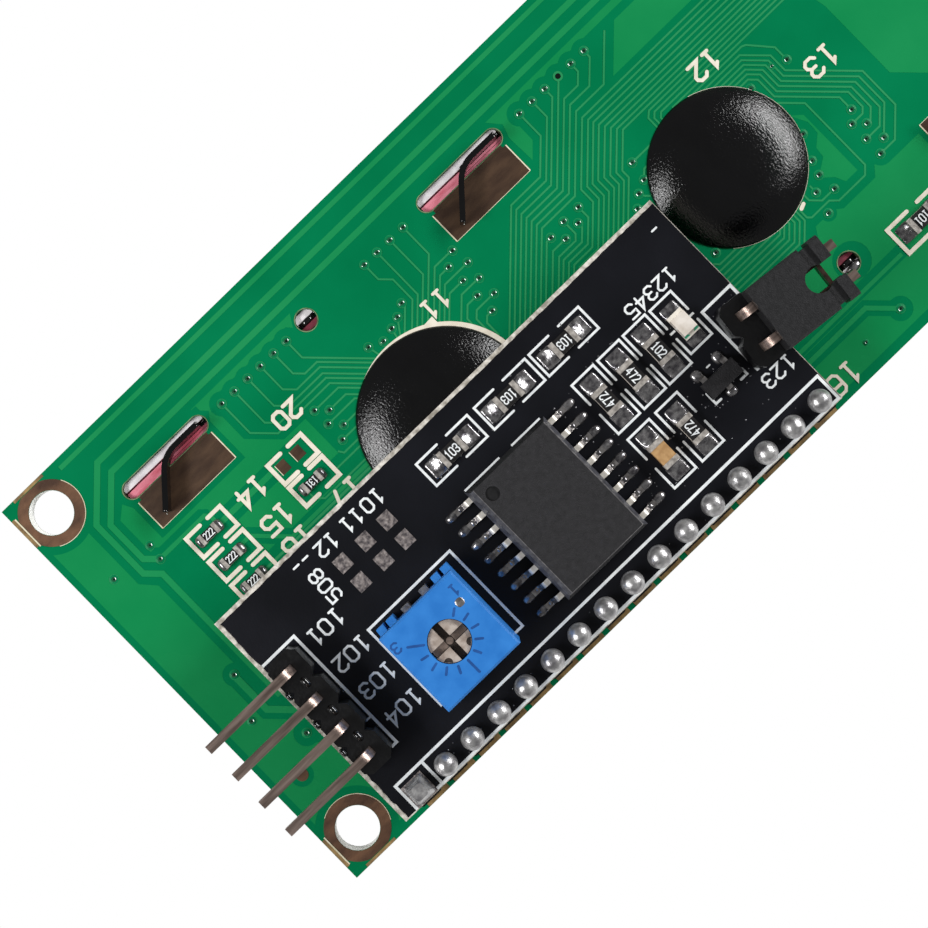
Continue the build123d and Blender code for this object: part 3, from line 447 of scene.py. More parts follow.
def write(layer, text, x, y, height, width, turn=180, narrow=1.0):
    """Draws plain numbers centred on a point, turned by an angle in degrees."""
    step = height / 6
    advance = 5.6 * step * narrow
    total = advance * (len(text) - 1) + 4 * step * narrow
    spin = Matrix.Rotation(radians(turn), 2)
    for n, sign in enumerate(text):
        for stroke in DIGITS[sign]:
            points = []
            for px, py in stroke:
                across = n * advance + px * step * narrow - total / 2
                local = Vector((across, py * step - height / 2))
                points.append(tuple(spin @ local + Vector((x, y))))
            layer.line(points, width, round_ends=True)


# Display board: copper under the mask
pour = board_layer("copper_pours", 0.008, COPPER_MASK)
trace = board_layer("copper_traces", 0.024, TRACE_MASK)
wide = board_layer("wide_traces", 0.02, WIDE_MASK)

for shape in (
    [(-39.5, 13.4), (-36.6, 13.4), (-36.6, 7.6), (-35.65, 6.55), (-35.65, -4.4), (-34, -6.1),
     (-34, -17.2), (-39.5, -17.2)],
    [(-34.4, 11.7), (-33.5, 12.45), (-33.1, 11.7), (-33.1, 8.78), (-34.4, 8.6)],
    [(-34.1, 8.78), (-33.75, 8.45), (-29.9, 8.45), (-29.4, 8), (-29.4, 7.4), (-24, 7.4),
     (-24, 8.78)],
    [(-25.05, 8.78), (-25.05, 12.2), (-24.5, 12.9), (-25.4, 13.85), (-15.6, 13.85),
     (-16.15, 12.95), (-16.5, 13.35), (-23.4, 13.35), (-24.45, 12.75), (-24.1, 12.05),
     (-24.1, 9.75), (-22.1, 7.75), (-20, 7.75), (-20, 4.4), (-20.9, 4.4), (-20.9, 2.9),
     (-28.4, 2.9), (-28.4, 7.4), (-25.05, 7.4)],
    [(3.65, 13.85), (4.45, 12.9), (4.1, 11.9), (4.2, 9.62), (5.2, 10.65), (5.2, 12.1),
     (4.95, 12.6), (5.3, 13.3), (24.2, 13.3), (24.2, 13.85)],
    [(12.4, 9.9), (15.2, 12.7), (24.2, 12.7), (24.2, 9.9)],
    [(19.3, -0.75), (20.08, -1.4), (20.08, -6.85), (18.95, -6.85), (18.6, -6.1), (17.7, -5.3),
     (18.4, -4.9), (19, -4.5), (19.1, -3.7), (19.9, -3), (19.95, -2)],
    [(7, -17.3), (7, -8.6), (14.6, -8.6), (15.2, -7.65), (16.9, -7.65), (17.5, -8.1),
     (20.6, -8.1), (21.2, -7.4), (22, -8), (39.5, -8), (39.5, -17.3)],
    [(25.5, 8), (36.5, 8), (36.5, 13.4), (39.5, 13.4), (39.5, -7), (30, -7),
     (26.5, -3.5), (26.5, 3)],
):
    pour.polygon(shape)

# Vias: one long row near the upper edge, and the rest about the blobs
VIA_ROW = 12.62
ROW_LEFT = [-23.5, -22.25, -20.95, -19.7, -18.4, -17.15]
ROW_MIDDLE = [-9.45, -8.2, -6.95, -5.65]
ROW_RIGHT = [5.8, 7.05, 8.3, 9.6, 10.85, 12.15]
VIAS = [
    (-37.6, 9.05), (-34.1, 9), (-34.25, 7.8), (-36.2, -1.7), (-37.6, -4.9), (-35.4, -8.2),
    *[(x, VIA_ROW) for x in ROW_LEFT + ROW_MIDDLE + ROW_RIGHT],
    (-13.3, 8.25), (-12.25, 7.8), (-11.2, 8.05), (-10.35, 8.35), (-9.45, 8.85),
    (-19.15, 7.7), (-18.35, 7), (-19.1, 6.35), (-18.35, 5.55), (-19.15, 4.85),
    (-4.3, 9), (-5.3, 8.35), (-4.1, 7.65), (-5.25, 6.95), (-4.3, 6.3), (-5.25, 5.5),
    (-4.3, 4.8), (-5.25, 4), (1.3, 4.8), (2.75, 5), (4.2, 5), (2, 4), (3.4, 4.2),
    (7.1, 2), (7.9, 2.7), (8.85, 3.15), (9.1, 4.6), (18.7, 2.5), (21.95, 2.2),
    (22.75, -3.5), (22.05, -4.25), (22.85, -4.95), (22.05, -5.7), (23, -6.5), (22.05, -7.15),
    (19.1, -2.35), (18.25, -4.15), (17.9, -5.2), (16.9, -5.95), (18, -6.65), (16.5, -7.6),
    (8.9, -4.05), (15.45, -15.95), (27, 5.6), (28.3, 4.4), (30.6, 3.2), (33.4, 2),
    (35.2, -3), (31.2, -5.6),
]
OPEN_VIA = (9.6, 12.62)
SMALL_VIAS = [(12.05, -15.95), (33.8, -15.2), (20.85, 2.6)]

# Wide traces; the pour keeps clear of the three that have names
EDGE_RUN = [(-35.83, 12.65), (-35.83, 7.9), (-34.87, 6.95), (-34.87, -5)]
SIDE_LINK = [(-36.25, -1.7), (-36.25, -5.05), (-34.3, -7)]
RESISTOR_LINK = [(-29.6, 6.66), (-23.5, 6.66)]
for width, points in (
    (0.35, [(-34.9, 17.32), (39, 17.32)]),
    (0.45, [(39, 15.78), (-32.7, 15.78), *EDGE_RUN]),
    (0.45, [(35, 14.62), (-32.45, 14.62), (-35.12, 11.95), (-35.12, 8.65), (-34.25, 7.8)]),
    (0.33, [(-34.25, 7.82), (-29.9, 7.82), (-29.6, 7.5), (-29.6, 6.9)]),
    (0.5, SIDE_LINK),
    (0.43, RESISTOR_LINK),
    (0.3, [(-29.6, 4.55), (-28.55, 4.55), (-26.45, 2.42), (-18.6, 2.42)]),
    (0.35, [(7.2, -14.2), (13.7, -14.2), (15.45, -15.95)]),
    (0.3, [(7.2, -13.25), (18.2, -13.25)]),
    (0.3, [(7.2, -12.4), (10, -12.4)]),
):
    wide.line(points, width)
trace.line([(-29.6, 2.1), (-18.6, 2.1)], 0.2)


# Fine traces

def falling(x, y, bend, end):
    """A level run that turns down by 45 degrees at the bend."""
    return [(x, y), (bend, y), (end, y - abs(end - bend))]


def rising(x, y, bend, end, top):
    """A level run that turns up by 45 degrees at the bend and then goes straight up."""
    return [(x, y), (bend, y), (end, y + end - bend), (end, top)]


runs = [
    [(x, VIA_ROW), (x, turn), (x + turn - level, level), (bend, level), (end, level + bend - end)]
    for x, turn, level, bend, end in (
        (-23.5, 9.75, 8.35, -17.02, -14.7), (-22.25, 9.55, 8.8, -16.95, -14.4),
        (-20.95, 9.95, 9.2, -16.9, -14.1), (-19.7, 10.35, 9.65, -16.73, -13.8),
        (-18.4, 10.65, 10.05, -16.62, -13.4),
    )
]
runs += [[(x, VIA_ROW), (x, turn), (end, turn - abs(end - x))] for x, turn, end in (
    (-17.15, 11, -13.1), (-8.2, 8.5, -10.3), (-6.95, 9.25, -9.9), (-5.65, 10, -9.4),
)]
runs += [falling(*numbers) for numbers in (
    (-19.15, 7.7, -16.8, -15.2), (-18.35, 7, -16.75, -15.5), (-19.1, 6.35, -16.5, -15.6),
    (-4.3, 9.05, -6, -9), (-5.3, 8.35, -6.15, -8.7), (-4.1, 7.65, -6.35, -8.4),
    (-5.25, 6.97, -6.55, -8.1), (-4.3, 6.32, -6, -7.8),
)]
runs += [falling(*numbers) + [(numbers[3], low)] for *numbers, low in (
    (-5.25, 5.52, -6.2, -6.9, 3.9), (-4.3, 4.8, -6, -6.45, 3.2), (-5.25, 4, -5.75, -6.1, 2.4),
)]
runs += [[(x0, y), (x1, y)] for x0, x1, y in (
    (-18.35, -16.4, 5.55), (-19.15, -17, 4.85), (-21, -18, 3.68), (9.1, 11.2, 4.6),
    (13.8, 26.6, 5.4), (7.2, 11.2, -5.2), (7.2, 12, -5.58), (7.2, 12.6, -5.95),
    (18.7, 17.6, 2.5),
)]
runs += [rising(*numbers) for numbers in (
    (7.2, -7.4, 13.35, 14.33, -5.6), (8.6, -7.75, 13.5, 14.65, -5.6),
)]
runs += [
    [(-19.95, 4.5), (-19.7, 4.12), (-17.6, 4.12)],
    [(-23.45, 4.1), (-23.45, 3.3), (-22.9, 2.75), (-18, 2.75)],
    [(-13.3, 8.25), (-13.05, 7)],
    [(-12.25, 7.8), (-12.3, 7)],
    [(-11.2, 8.05), (-11.45, 7)],
    [(-10.35, 8.35), (-11.3, 7)],
    [(-9.45, 8.85), (-9.45, 8.5), (-11, 6.95)],
    [(-9.45, VIA_ROW), (-9.45, 11.2), (-8.72, 10.47), (-8.72, 8.5), (-10.6, 6.62)],
    [(8.85, 3.15), (9.4, 3.7), (10.2, 3.7)],
    [(7.9, 2.7), (8.1, 2.3), (8.4, 2)],
    [(21.95, 2.2), (21.95, 3.4), (20.6, 4.95), (20.3, 5.08), (15, 5.08)],
    [(12.1, 4.6), (12.1, 6.05), (12.5, 6.4), (27.5, 6.4)],
    [(12.4, 4.6), (12.4, 5.75), (12.72, 6.07), (27.2, 6.07)],
    [(12.75, 4.6), (12.75, 5.45), (13.05, 5.74), (26.9, 5.74)],
    [(8.2, -4.5), (8.5, -4.85), (10.6, -4.85)],
    [(7.2, -6.3), (13, -6.3), (13.7, -5.6)],
    [(7.2, -6.67), (13.05, -6.67), (14, -5.72)],
    [(7.2, -7.03), (13.2, -7.03), (14.02, -6.2), (14.02, -5.6)],
    [(13.2, -8.55), (14.95, -6.8), (14.95, -5.6)],
    [(15.2, -5.6), (15.2, -6.75), (15.45, -7), (17.15, -7), (17.65, -7.48), (20.2, -7.48),
     (20.72, -6.95), (20.72, -0.9), (19, 0.82)],
    [(16.9, -5.95), (16.9, -5.3)],
    [(18, -6.65), (16.8, -6.65), (16.15, -6), (16.15, -5.4)],
    [(22.75, -3.5), (22.75, -2.3), (19.5, 0.95), (19.5, 2.6), (19, 3.1), (16, 3.1)],
    [(22.05, -4.25), (23.1, -4.25), (23.45, -3.9), (23.45, -2.45), (19.87, 1.1), (19.87, 2.75),
     (19.2, 3.42), (16, 3.42)],
    [(22.85, -4.95), (23.2, -4.95), (23.85, -4.3), (23.85, -2.35), (20.23, 1.27), (20.23, 2.85),
     (19.35, 3.74), (16, 3.74)],
    [(22.05, -5.72), (23.35, -5.72), (24.3, -4.75), (24.3, -2.3), (20.6, 1.4), (20.6, 2.95),
     (19.5, 4.06), (15.8, 4.06)],
    [(23, -6.5), (24.75, -4.75), (24.75, -2.2), (20.97, 1.55), (20.97, 3.05), (19.62, 4.4),
     (15.6, 4.4)],
    [(22.05, -7.15), (23.45, -7.15), (25.2, -5.4), (25.2, -2.1), (21.33, 1.75), (21.33, 3.2),
     (19.78, 4.74), (15.4, 4.74)],
    [(1.3, 4.8), (0.9, 4.8), (-2.7, 1.2)],
    [(2, 4.02), (0.75, 4.02), (-2.1, 1.17)],
    [(2.75, 5), (2.75, 3.8), (2.4, 3.43), (0.78, 3.43), (-1.45, 1.2)],
    [(3.4, 4.2), (3.4, 3.8), (2.65, 3.05), (0.85, 3.05), (-1, 1.2)],
    [(4.2, 5), (4.2, 4), (2.85, 2.66), (1, 2.66), (-0.46, 1.2)],
]
# The diagonal bundle: runs at 45 degrees with a level step behind the middle of the board
for n, (level, far) in enumerate([(8.4, -4.65), (7.92, -4.05), (7.45, -3.55), (7, -2.95),
                                  (6.58, -2.37), (6.15, -1.77), (5.72, -1.16)]):
    low = -7.5 + 0.515 * n
    run = [(1.2 + low, 1.2), (level + low, level), (level + far, level)]
    if n < 4:
        run += [(ROW_RIGHT[n], ROW_RIGHT[n] - far), (ROW_RIGHT[n], VIA_ROW)]
    elif n == 4:
        run += [(8.8, 11.17), (10.15, 11.17), (10.85, 11.87), (ROW_RIGHT[n], VIA_ROW)]
    elif n == 5:
        run += [(8.8, 10.57), (10.7, 10.57), (12.15, 12.02), (ROW_RIGHT[n], VIA_ROW)]
    else:
        run += [(8.79, 9.95), (11.5, 9.95), (14.2, 12.65)]
    runs.append(run)
# The level bundle that comes from the right, turns down and ends by the first blob
for n, (turn_x, level, drop_x, low_y) in enumerate([
    (8.78, 9.33, 5.2, 4.55), (8.98, 8.93, 5.65, 4.42), (9.13, 8.55, 6.05, 4.32),
    (9.28, 8.15, 6.5, 4.28), (9.5, 7.77, 6.95, 4.22), (9.73, 7.4, 7.37, 4.16),
    (9.98, 7.05, 7.8, 4.1), (10.25, 6.72, 8.2, 4.02),
]):
    run = [(28.0 - 0.15 * n, level), (turn_x, level), (drop_x, level - turn_x + drop_x),
           (drop_x, low_y)]
    if n == 0:
        run += [(drop_x - low_y + 2.28, 2.28), (1.15, 2.28), (0.1, 1.23)]
    elif n == 1:
        run += [(drop_x - low_y + 1.9, 1.9), (1.3, 1.9), (0.6, 1.2)]
    else:
        run += [(drop_x - low_y + 1.2, 1.2)]
    runs.append(run)
FINE = 0.135
for points in runs:
    trace.line(points, FINE)

# Gaps in the pours, around what isn't joined to them
for x, y in RINGS:
    pour.disc(x, y, 3, 48, cut=True)
for x in ROW_LEFT + ROW_RIGHT:
    pour.disc(x, VIA_ROW, 0.9, cut=True)
for x, y, radius in (
    (-36.2, -1.7, 0.85), (-35.4, -8.2, 0.95), (-37.7, -10.1, 0.85), (15.35, -11.15, 1.4),
    (15.45, -15.95, 0.9), (22.05, -7.15, 0.85), (-19.15, 7.7, 0.7), (-19.1, 6.35, 0.7),
    (-19.15, 4.85, 0.75), (16.5, -7.6, 0.6),
):
    pour.disc(x, y, radius, cut=True)
for width, points in (
    (1.35, SIDE_LINK),
    (1.3, [(-35.4, -8.2), (-34.2, -9.4)]),
    (1.45, RESISTOR_LINK),
    (1.15, [(-29.6, 4.6), (-28.55, 4.6), (-26.4, 2.4)]),
    (1.1, [(7, -14.2), (13.7, -14.2), (15.45, -15.95)]),
    (0.7, [(7, -13.25), (18.6, -13.25)]),
    (0.5, [(7, -12.8), (19, -12.8)]),
    (1.35, EDGE_RUN),
):
    pour.line(points, width, round_ends=True, cut=True)
pour.box(-32, -28.45, 0.9, 7.5, cut=True)
pour.box(-24.35, -20.95, 3, 7.45, cut=True)
pour.box(-29, -18, 1, 2.9, cut=True)
for x, y, upper in SLOTS:
    if (x, upper) != (0, 1):
        pour.box(x - 4.05, x + 4.05, y + 1.1 * upper, y - 3.95 * upper, cut=True)

# Vias: a flat land that rises to the rim of a glossy bowl over its filled hole
LAND = [(0.33, 0.026), (0.2, 0.078)]
BOWL = [(0.2, 0.078), (0.175, 0.064), (0.15, 0.053), (0.12, 0.043), (0.09, 0.036), (0.06, 0.032)]
VIA_PAD, VIA_SIDES = 0.36, 20


def turned(name, profile, places, made):
    """Rings turned about upright axes, one set at each place, gathered into one mesh."""
    verts, faces = [], []
    rows = len(profile)
    for x, y, size in places:
        start = len(verts)
        for i in range(VIA_SIDES):
            a = 2 * pi * i / VIA_SIDES
            for reach, rise in profile:
                verts.append(((x + size * reach * cos(a)) * MM,
                              (y + size * reach * sin(a)) * MM, (TOP + rise) * MM))
        for i in range(VIA_SIDES):
            here, there = start + rows * i, start + rows * ((i + 1) % VIA_SIDES)
            for j in range(rows - 1):
                faces.append([here + j, there + j, there + j + 1, here + j + 1])
    add_mesh(name, verts, faces, made, smooth=True)


via_places = [(x, y, 1) for x, y in VIAS if (x, y) != OPEN_VIA]
via_places += [(x, y, 0.66) for x, y in SMALL_VIAS]
turned("via_lands", LAND, via_places, VIA_LAND)
turned("via_bowls", BOWL, via_places, VIA_RIM)
dimple = Layer("via_dimples", TOP + 0.018, TOP + 0.036, VIA_DARK)
for x, y, size in via_places:
    trace.disc(x, y, VIA_PAD * size, VIA_SIDES)
    dimple.disc(x, y, size * random.choice((0.07, 0.08, 0.1)), 12)
trace.disc(*OPEN_VIA, VIA_PAD, VIA_SIDES)
# A wider dark disc of painted shade stands in for the open via's hole
dimple.disc(*OPEN_VIA, 0.2, 16)

# Where the board has no surface: beyond its outline, and its holes and slots
BEYOND, INSET = 60, 0.015
openings = Layer("openings", 0, 0, MASK)
for side in (1, -1):
    openings.box(-BEYOND, BEYOND, side * (HALF_WIDTH - INSET), side * 40)
for side in (-1, 1):
    openings.box(side * BEYOND, side * (HALF_LENGTH - INSET), -40, 40)
for x, y in RINGS:
    openings.disc(x, y, RING_HOLE, 64)
for x, y in NIBS:
    openings.disc(x, y, NIB_HOLE, 24)
for x, y, _ in SLOTS:
    openings.line([(x - SLOT_REACH, y), (x + SLOT_REACH, y)], 2 * SLOT_RADIUS)
    for end in (-SLOT_REACH, SLOT_REACH):
        openings.disc(x + end, y, SLOT_RADIUS, 24)

# Bare copper: ring pads, clinch pads and test dots
bare = board_layer("bare_copper", 0.03, COPPER)
clinch = board_layer("clinch_pads", 0.03, PAD_COPPER)
fibre = board_layer("bare_fibre_strips", 0.026, BARE_FIBRE)
# Pale lines of painted highlight along the mask's edges at the ring pads and clinch pads
mask_edge = board_layer("mask_edge_highlights", 0.036, MASK_EDGE_HIGHLIGHT)
for x, y in RINGS:
    sx, sy = copysign(1, x), copysign(1, y)
    bare.disc(x, y, RING_PAD, 64)
    bare.box(x + sx * 2.1, x + sx * 3, y - 3, y + 3, cut=True)
    bare.box(x - 3, x + 3, y + sy * 2.23, y + sy * 3, cut=True)
    fibre.box(x + sx * 2.24, x + sx * 2.52, y - sy * 1.05, y + sy * 1.5)
    fibre.box(x - 1.4, x + 1.4, y + sy * 2.27, y + sy * 2.52)
    mask_edge.line([(x + sx * 2.18, y - sy * 1.15), (x + sx * 2.18, y + sy * 1.45)], 0.1)
    inward = degrees(atan2(-sy, -sx))
    mask_edge.arc(x, y, RING_PAD + 0.03, inward - 75, inward + 75, 0.045)
bare.disc(-37.7, -10.1, 0.45)
dull = board_layer("cut_rims", 0.028, DULL_RIM)
for x, y, upper in SLOTS:
    far, near = y - upper * 3.48, y - upper * 0.98
    clinch.box(x - 3.58, x + 3.55, far, near)
    clinch.box(x - 3.3, x + 3.3, near + upper * 0.01, y - upper * 0.735)
    for edge in (x - 3.6, x + 3.58):
        mask_edge.line([(edge, near), (edge, far)], 0.085)
    mask_edge.line([(x - 3.6, far), (x + 3.58, far)], 0.035)
    for shift in (0.7, -0.7):
        dull.line([(x - SLOT_REACH, y + shift), (x + SLOT_REACH, y + shift)], 0.045)
    for end, start in ((-SLOT_REACH, 90), (SLOT_REACH, -90)):
        dull.arc(x + end, y, SLOT_RADIUS + 0.035, start, start + 180, 0.055)
for x, y in NIBS:
    dull.arc(x, y, NIB_HOLE + 0.035, 0, 360, 0.05)
for x0, x1 in ((-23.9, -23.1), (-22.5, -21.65)):
    clinch.box(x0, x1, 5.95, 6.85)
    mask_edge.line([(x0, 5.95), (x0, 6.85)], 0.05)
for x in HEADER_X:
    fibre.box(x - 0.9, x + 1.1, -18, -17.6)
    bare.disc(x, HEADER_Y, HEADER_PAD)

# Cream printing on the display board
cream = board_layer("cream_print", 0.045, CREAM)


def bracket(layer, x0, x1, y0, y1, width, left_gap, right_gap):
    """Two square brackets facing each other around a part."""
    for gap, x in ((left_gap, x0), (right_gap, x1)):
        layer.line([(gap, y1), (x, y1), (x, y0), (gap, y0)], width, round_ends=True)


for y0, y1 in ((5.72, 7.55), (3.42, 5.25), (1.12, 2.95)):
    bracket(cream, -31.97, -28.63, y0, y1, 0.3, -30.6, -29.85)
for y0, y1 in ((5.42, 7.22), (3.25, 5.05)):
    bracket(cream, -24.25, -21, y0, y1, 0.32, -23, -22.25)
bracket(cream, 18.6, 23.6, -13.6, -11.35, 0.3, 20.5, 21.5)
bracket(cream, 30, 33.3, 0.6, 2.4, 0.3, 31.3, 32.05)
for text, x, y, height, width in (
    ("14", -26.35, 6.72, 1.3, 0.26), ("15", -26.4, 4.05, 1.34, 0.26),
    ("16", -26.4, 1.9, 1.34, 0.26), ("20", -20.72, 8.86, 1.24, 0.27),
    ("17", -21.56, 1.95, 1.35, 0.26), ("11", -7.8, 7.16, 1.22, 0.22),
    ("12", 17.5, 5.95, 1.3, 0.26), ("13", 23.6, 0.45, 1.4, 0.24),
    ("16", 9.1, -16.7, 1.45, 0.22), ("18", 26.4, -12.4, 1.4, 0.24),
    ("19", 34.9, 1.5, 1.3, 0.24),
):
    write(cream, text, x, y, height, width)
cream.disc(-12.45, 0.92, 6.5, 96)
cream.polygon([(-9.72, 6.62), (-8.57, 6.68), (-8.57, 5.86), (-9.2, 6.1)])
cream.arc(*BLOBS[1][1:], -130, 75, 0.05, 96)
cream.line([(15.35, -6.05), (15.7, -5.9)], 0.28, round_ends=True)

for layer in (pour, wide, trace, dimple, bare, clinch, fibre, dull, mask_edge, cream):
    layer.build(openings.shapes)

# Seen down the slots: the zebra strips, dark lines of painted shade across them and in the nib
# holes, and the raw edge of the bezel's wall
DEEPEST = 0.02
pink = Layer("zebra_ledges", DEEPEST, 1.3, ZEBRA, slot="zebra_strip_upper")
zebra_shade = Layer("zebra_shade_lines", DEEPEST, 1.32, ZEBRA_SHADE, slot="zebra_strip_upper")
steel = Layer("bezel_wall_edges", DEEPEST, 1.25, CUT_STEEL, slot="bezel")
for x, y, upper in SLOTS:
    pink.box(x - 3.8, x + 0.15, y - upper * 0.64, y - upper * 0.02)
    pink.box(x + 0.1, x + 3.8, y - upper * 0.64, y - upper * 0.22)
    zebra_shade.box(x + 0.2, x + 3.6, y - upper * 0.43, y - upper * 0.4)
    steel.box(x - 3.8, x + 0.15, y + upper * 0.12, y + upper * 0.64)
    steel.box(x + 0.1, x + 3.8, y + upper * 0.2, y + upper * 0.64)
for x, y in NIBS:
    upper = copysign(1, y)
    steel.box(x - 0.72, x + 0.72, y + upper * 0.16, y + upper * 0.7)
    zebra_shade.box(x - 0.7, x + 0.7, y - upper * 0.28, y - upper * 0.7)
for layer in (pink, zebra_shade, steel):
    layer.build()

# Display board, face side: pads round the holes
face = Layer("face_pads", -0.03, 0.01, COPPER)
for x in HEADER_X:
    face.disc(x, HEADER_Y, HEADER_PAD, 32)
    face.disc(x, HEADER_Y, HEADER_HOLE, 32, cut=True)
for x, y in RINGS:
    face.disc(x, y, RING_PAD + 0.06, 64)
face.build(openings.shapes)

# Adapter board: black mask, ragged along two of its sides
left, right, low, high = ADAPTER


def ragged(a, b, count, depth):
    """Points between two ends, pushed about sideways by up to the depth."""
    a, b = Vector(a), Vector(b)
    side = Vector((-(b - a).y, (b - a).x)).normalized()
    points = [tuple(a)]
    for n in range(1, count):
        points.append(tuple(a.lerp(b, n / count) + side * random.uniform(-depth, depth)))
    return points


corners = [(right - 0.05, high - 0.3), (left + 0.3, high - 0.3), (left + 0.3, low + 0.1),
           (right - 0.05, low + 0.1)]
outline = []
for n, (count, depth) in enumerate(((130, 0.025), (62, 0.05), (40, 0.008), (40, 0.008))):
    outline += ragged(corners[n], corners[(n + 1) % 4], count, depth)
mask = adapter_layer("adapter_mask_back", -0.02, 0.03, BLACK_MASK)
mask.polygon(outline)
mask.build()
under = adapter_layer("adapter_mask_front", -ADAPTER_THICKNESS - 0.03, -ADAPTER_THICKNESS + 0.02,
                      BLACK_MASK)
under.box(left + 0.2, right - 0.1, low + 0.1, high - 0.2)
under.build()

# White printing on the adapter board
white = adapter_layer("white_print", 0, 0.05, WHITE_INK)
THIN, WIDE = 0.17, 0.21
for width, points in (
    (WIDE, [(-33.75, -2.69), (-30.75, -2.69), (-30.75, -12.78), (-33.75, -12.78)]),
    (0.14, [(-32, -10.29), (-30.75, -10.29)]),
    (0.19, [(-26.8, -5.94), (-19.03, -5.94), (-19.03, -13.09), (-26.8, -13.09), (-26.8, -5.84)]),
    (WIDE, [(-32.94, -17), (-32.94, -14.9), (7.3, -14.9), (7.3, -17)]),
    (WIDE, [(-33.04, -16.98), (7.4, -16.98)]),
    (WIDE, [(-30.47, -14.9), (-30.47, -17)]),
    (THIN, [(-15.45, -3.75), (-12.15, -3.75)]),
    (THIN, [(-11, -3.75), (-8.3, -3.75)]),
    (THIN, [(2.06, -5.9), (2.5, -5.9)]),
    (THIN, [(3.83, -5.9), (4.27, -5.9)]),
    (0.13, [(4.7, -8.92), (5.15, -8.92)]),
    (WIDE, [(4.7, -6.3), (7.35, -6.3), (7.35, -7.3)]),
    (WIDE, [(4.7, -6.2), (4.7, -11.7), (7.35, -11.7), (7.35, -10.7)]),
):
    white.line(points, width)
for x0, x1, gap0, gap1 in ((-16.56, -11.71, -14.6, -13.7), (-11.04, -6.2, -9.2, -8.3),
                           (-5.82, -1.1, -3.95, -3)):
    bracket(white, x0, x1, -2.14, -0.11, THIN, gap0, gap1)
for (y0, y1, gap0, gap1), sides in (
    ((-8.27, -3.67, -6.45, -5.5), ((-5.18, -3.14), (-2.73, -0.68), (-0.31, 1.79))),
    ((-7.8, -3.74, -6.4, -5.45), ((2.18, 4.17),)),
    ((-13.6, -8.99, -11.75, -10.85), ((-5.02, -2.98), (-2.38, -0.33))),
):
    for x0, x1 in sides:
        for gap, y in ((gap1, y1), (gap0, y0)):
            white.line([(x0, gap), (x0, y), (x1, y), (x1, gap)], THIN, round_ends=True)
for width, points in (
    (THIN, [(1.03, -10.5), (1.03, -11.44), (1.5, -11.44)]),
    (THIN, [(3.4, -11.44), (3.97, -11.44), (3.97, -10.95)]),
    (0.13, [(2.3, -9.22), (2.55, -9.22)]),
):
    white.line(points, width, round_ends=True)
for text, x, y, height, width in (
    ("10", -20.45, 0.22, 0.98, 0.16), ("11", -22.4, 0.22, 0.98, 0.16),
    ("12", -24.8, 0.22, 0.98, 0.16), ("--", -26.9, 0.6, 0.9, 0.15),
    *[(f"10{n + 1}", -28.75, -3.75 - 2.55 * n, 1.08, 0.17) for n in range(4)],
    ("12345", 3.1, -2.88, 0.96, 0.15), ("123", 5.62, -12.82, 0.98, 0.15),
    ("-", 6.3, 0.05, 0.8, 0.14),
):
    write(white, text, x, y, height, width)
write(white, "508", -26.8, -1.72, 0.98, 0.16, 90)
white.build()

# Tinned pads on the adapter board
pads = adapter_layer("tinned_pads", 0, 0.06, PAD_TIN)
for x in (-24.85, -22.7, -20.65):
    for y in (-1.45, -3.25):
        pads.box(x - 0.52, x + 0.52, y - 0.57, y + 0.57)
pads.box(HEADER_X[0] - 0.92, HEADER_X[0] + 0.92, HEADER_Y - 0.92, HEADER_Y + 0.92)
pads.build()


class Mound:
    """Small solder fillets and domes, gathered into one mesh."""

    def __init__(self, name, made, slot):
        self.name, self.made, self.slot = name, made, slot
        self.verts, self.faces = [], []

    def fillet(self, x, y, level, way, reach, width, height, rows=8, columns=10):
        """A fillet from a height against a wall at x, y, falling to a pad along the way."""
        way = Vector(way).normalized()
        side = Vector((-way.y, way.x))
        start = len(self.verts)
        tilt = random.uniform(-0.2, 0.2)
        for i in range(rows + 1):
            t = i / rows
            half = width / 2 * (1 - 0.1 * t ** 4)
            for j in range(columns + 1):
                s = j / columns * 2 - 1
                crown = 1 - 0.72 * s * s + tilt * s * (1 - abs(s))
                p = Vector((x, y)) + way * (reach * t) + side * (half * s)
                z = 0.03 + (height - 0.03) * (1 - t) ** 2.2 * crown
                z += 0.03 * sin(pi * t) * (1 - s * s)
                self.verts.append((p.x, p.y, level + z))
        for i in range(rows):
            for j in range(columns):
                a = start + i * (columns + 1) + j
                self.faces.append([a, a + columns + 1, a + columns + 2, a + 1])
        loop = [start + j for j in range(columns + 1)]
        loop += [start + i * (columns + 1) + columns for i in range(1, rows + 1)]
        loop += [start + rows * (columns + 1) + j for j in range(columns - 1, -1, -1)]
        loop += [start + i * (columns + 1) for i in range(rows - 1, 0, -1)]
        base, count = len(self.verts), len(loop)
        self.verts += [(self.verts[v][0], self.verts[v][1], level - 0.02) for v in loop]
        for n in range(count):
            m = (n + 1) % count
            self.faces.append([loop[n], loop[m], base + m, base + n])

    def dome(self, x, y, level, length, width, height, way=(1, 0), rows=5, columns=12):
        """Half an egg lying along the way."""
        way = Vector(way).normalized()
        side = Vector((-way.y, way.x))
        start = len(self.verts)
        self.verts.append((x, y, level + height))
        for i in range(1, rows + 1):
            u = pi / 2 * i / rows
            for j in range(columns):
                a = 2 * pi * j / columns
                c, d = (copysign(abs(part) ** 0.75, part) * sin(u) * size / 2
                        for part, size in ((cos(a), length), (sin(a), width)))
                p = Vector((x, y)) + way * c + side * d
                self.verts.append((p.x, p.y, level + height * cos(u)))
        for j in range(columns):
            k = (j + 1) % columns
            self.faces.append([start, start + 1 + j, start + 1 + k])
            for i in range(rows - 1):
                a, b = start + 1 + i * columns + j, start + 1 + i * columns + k
                self.faces.append([a, a + columns, b + columns, b])

    def build(self):
        solid = [(x * MM, y * MM, z * MM) for x, y, z in self.verts]
        return add_mesh(self.name, solid, self.faces, self.made, smooth=True)


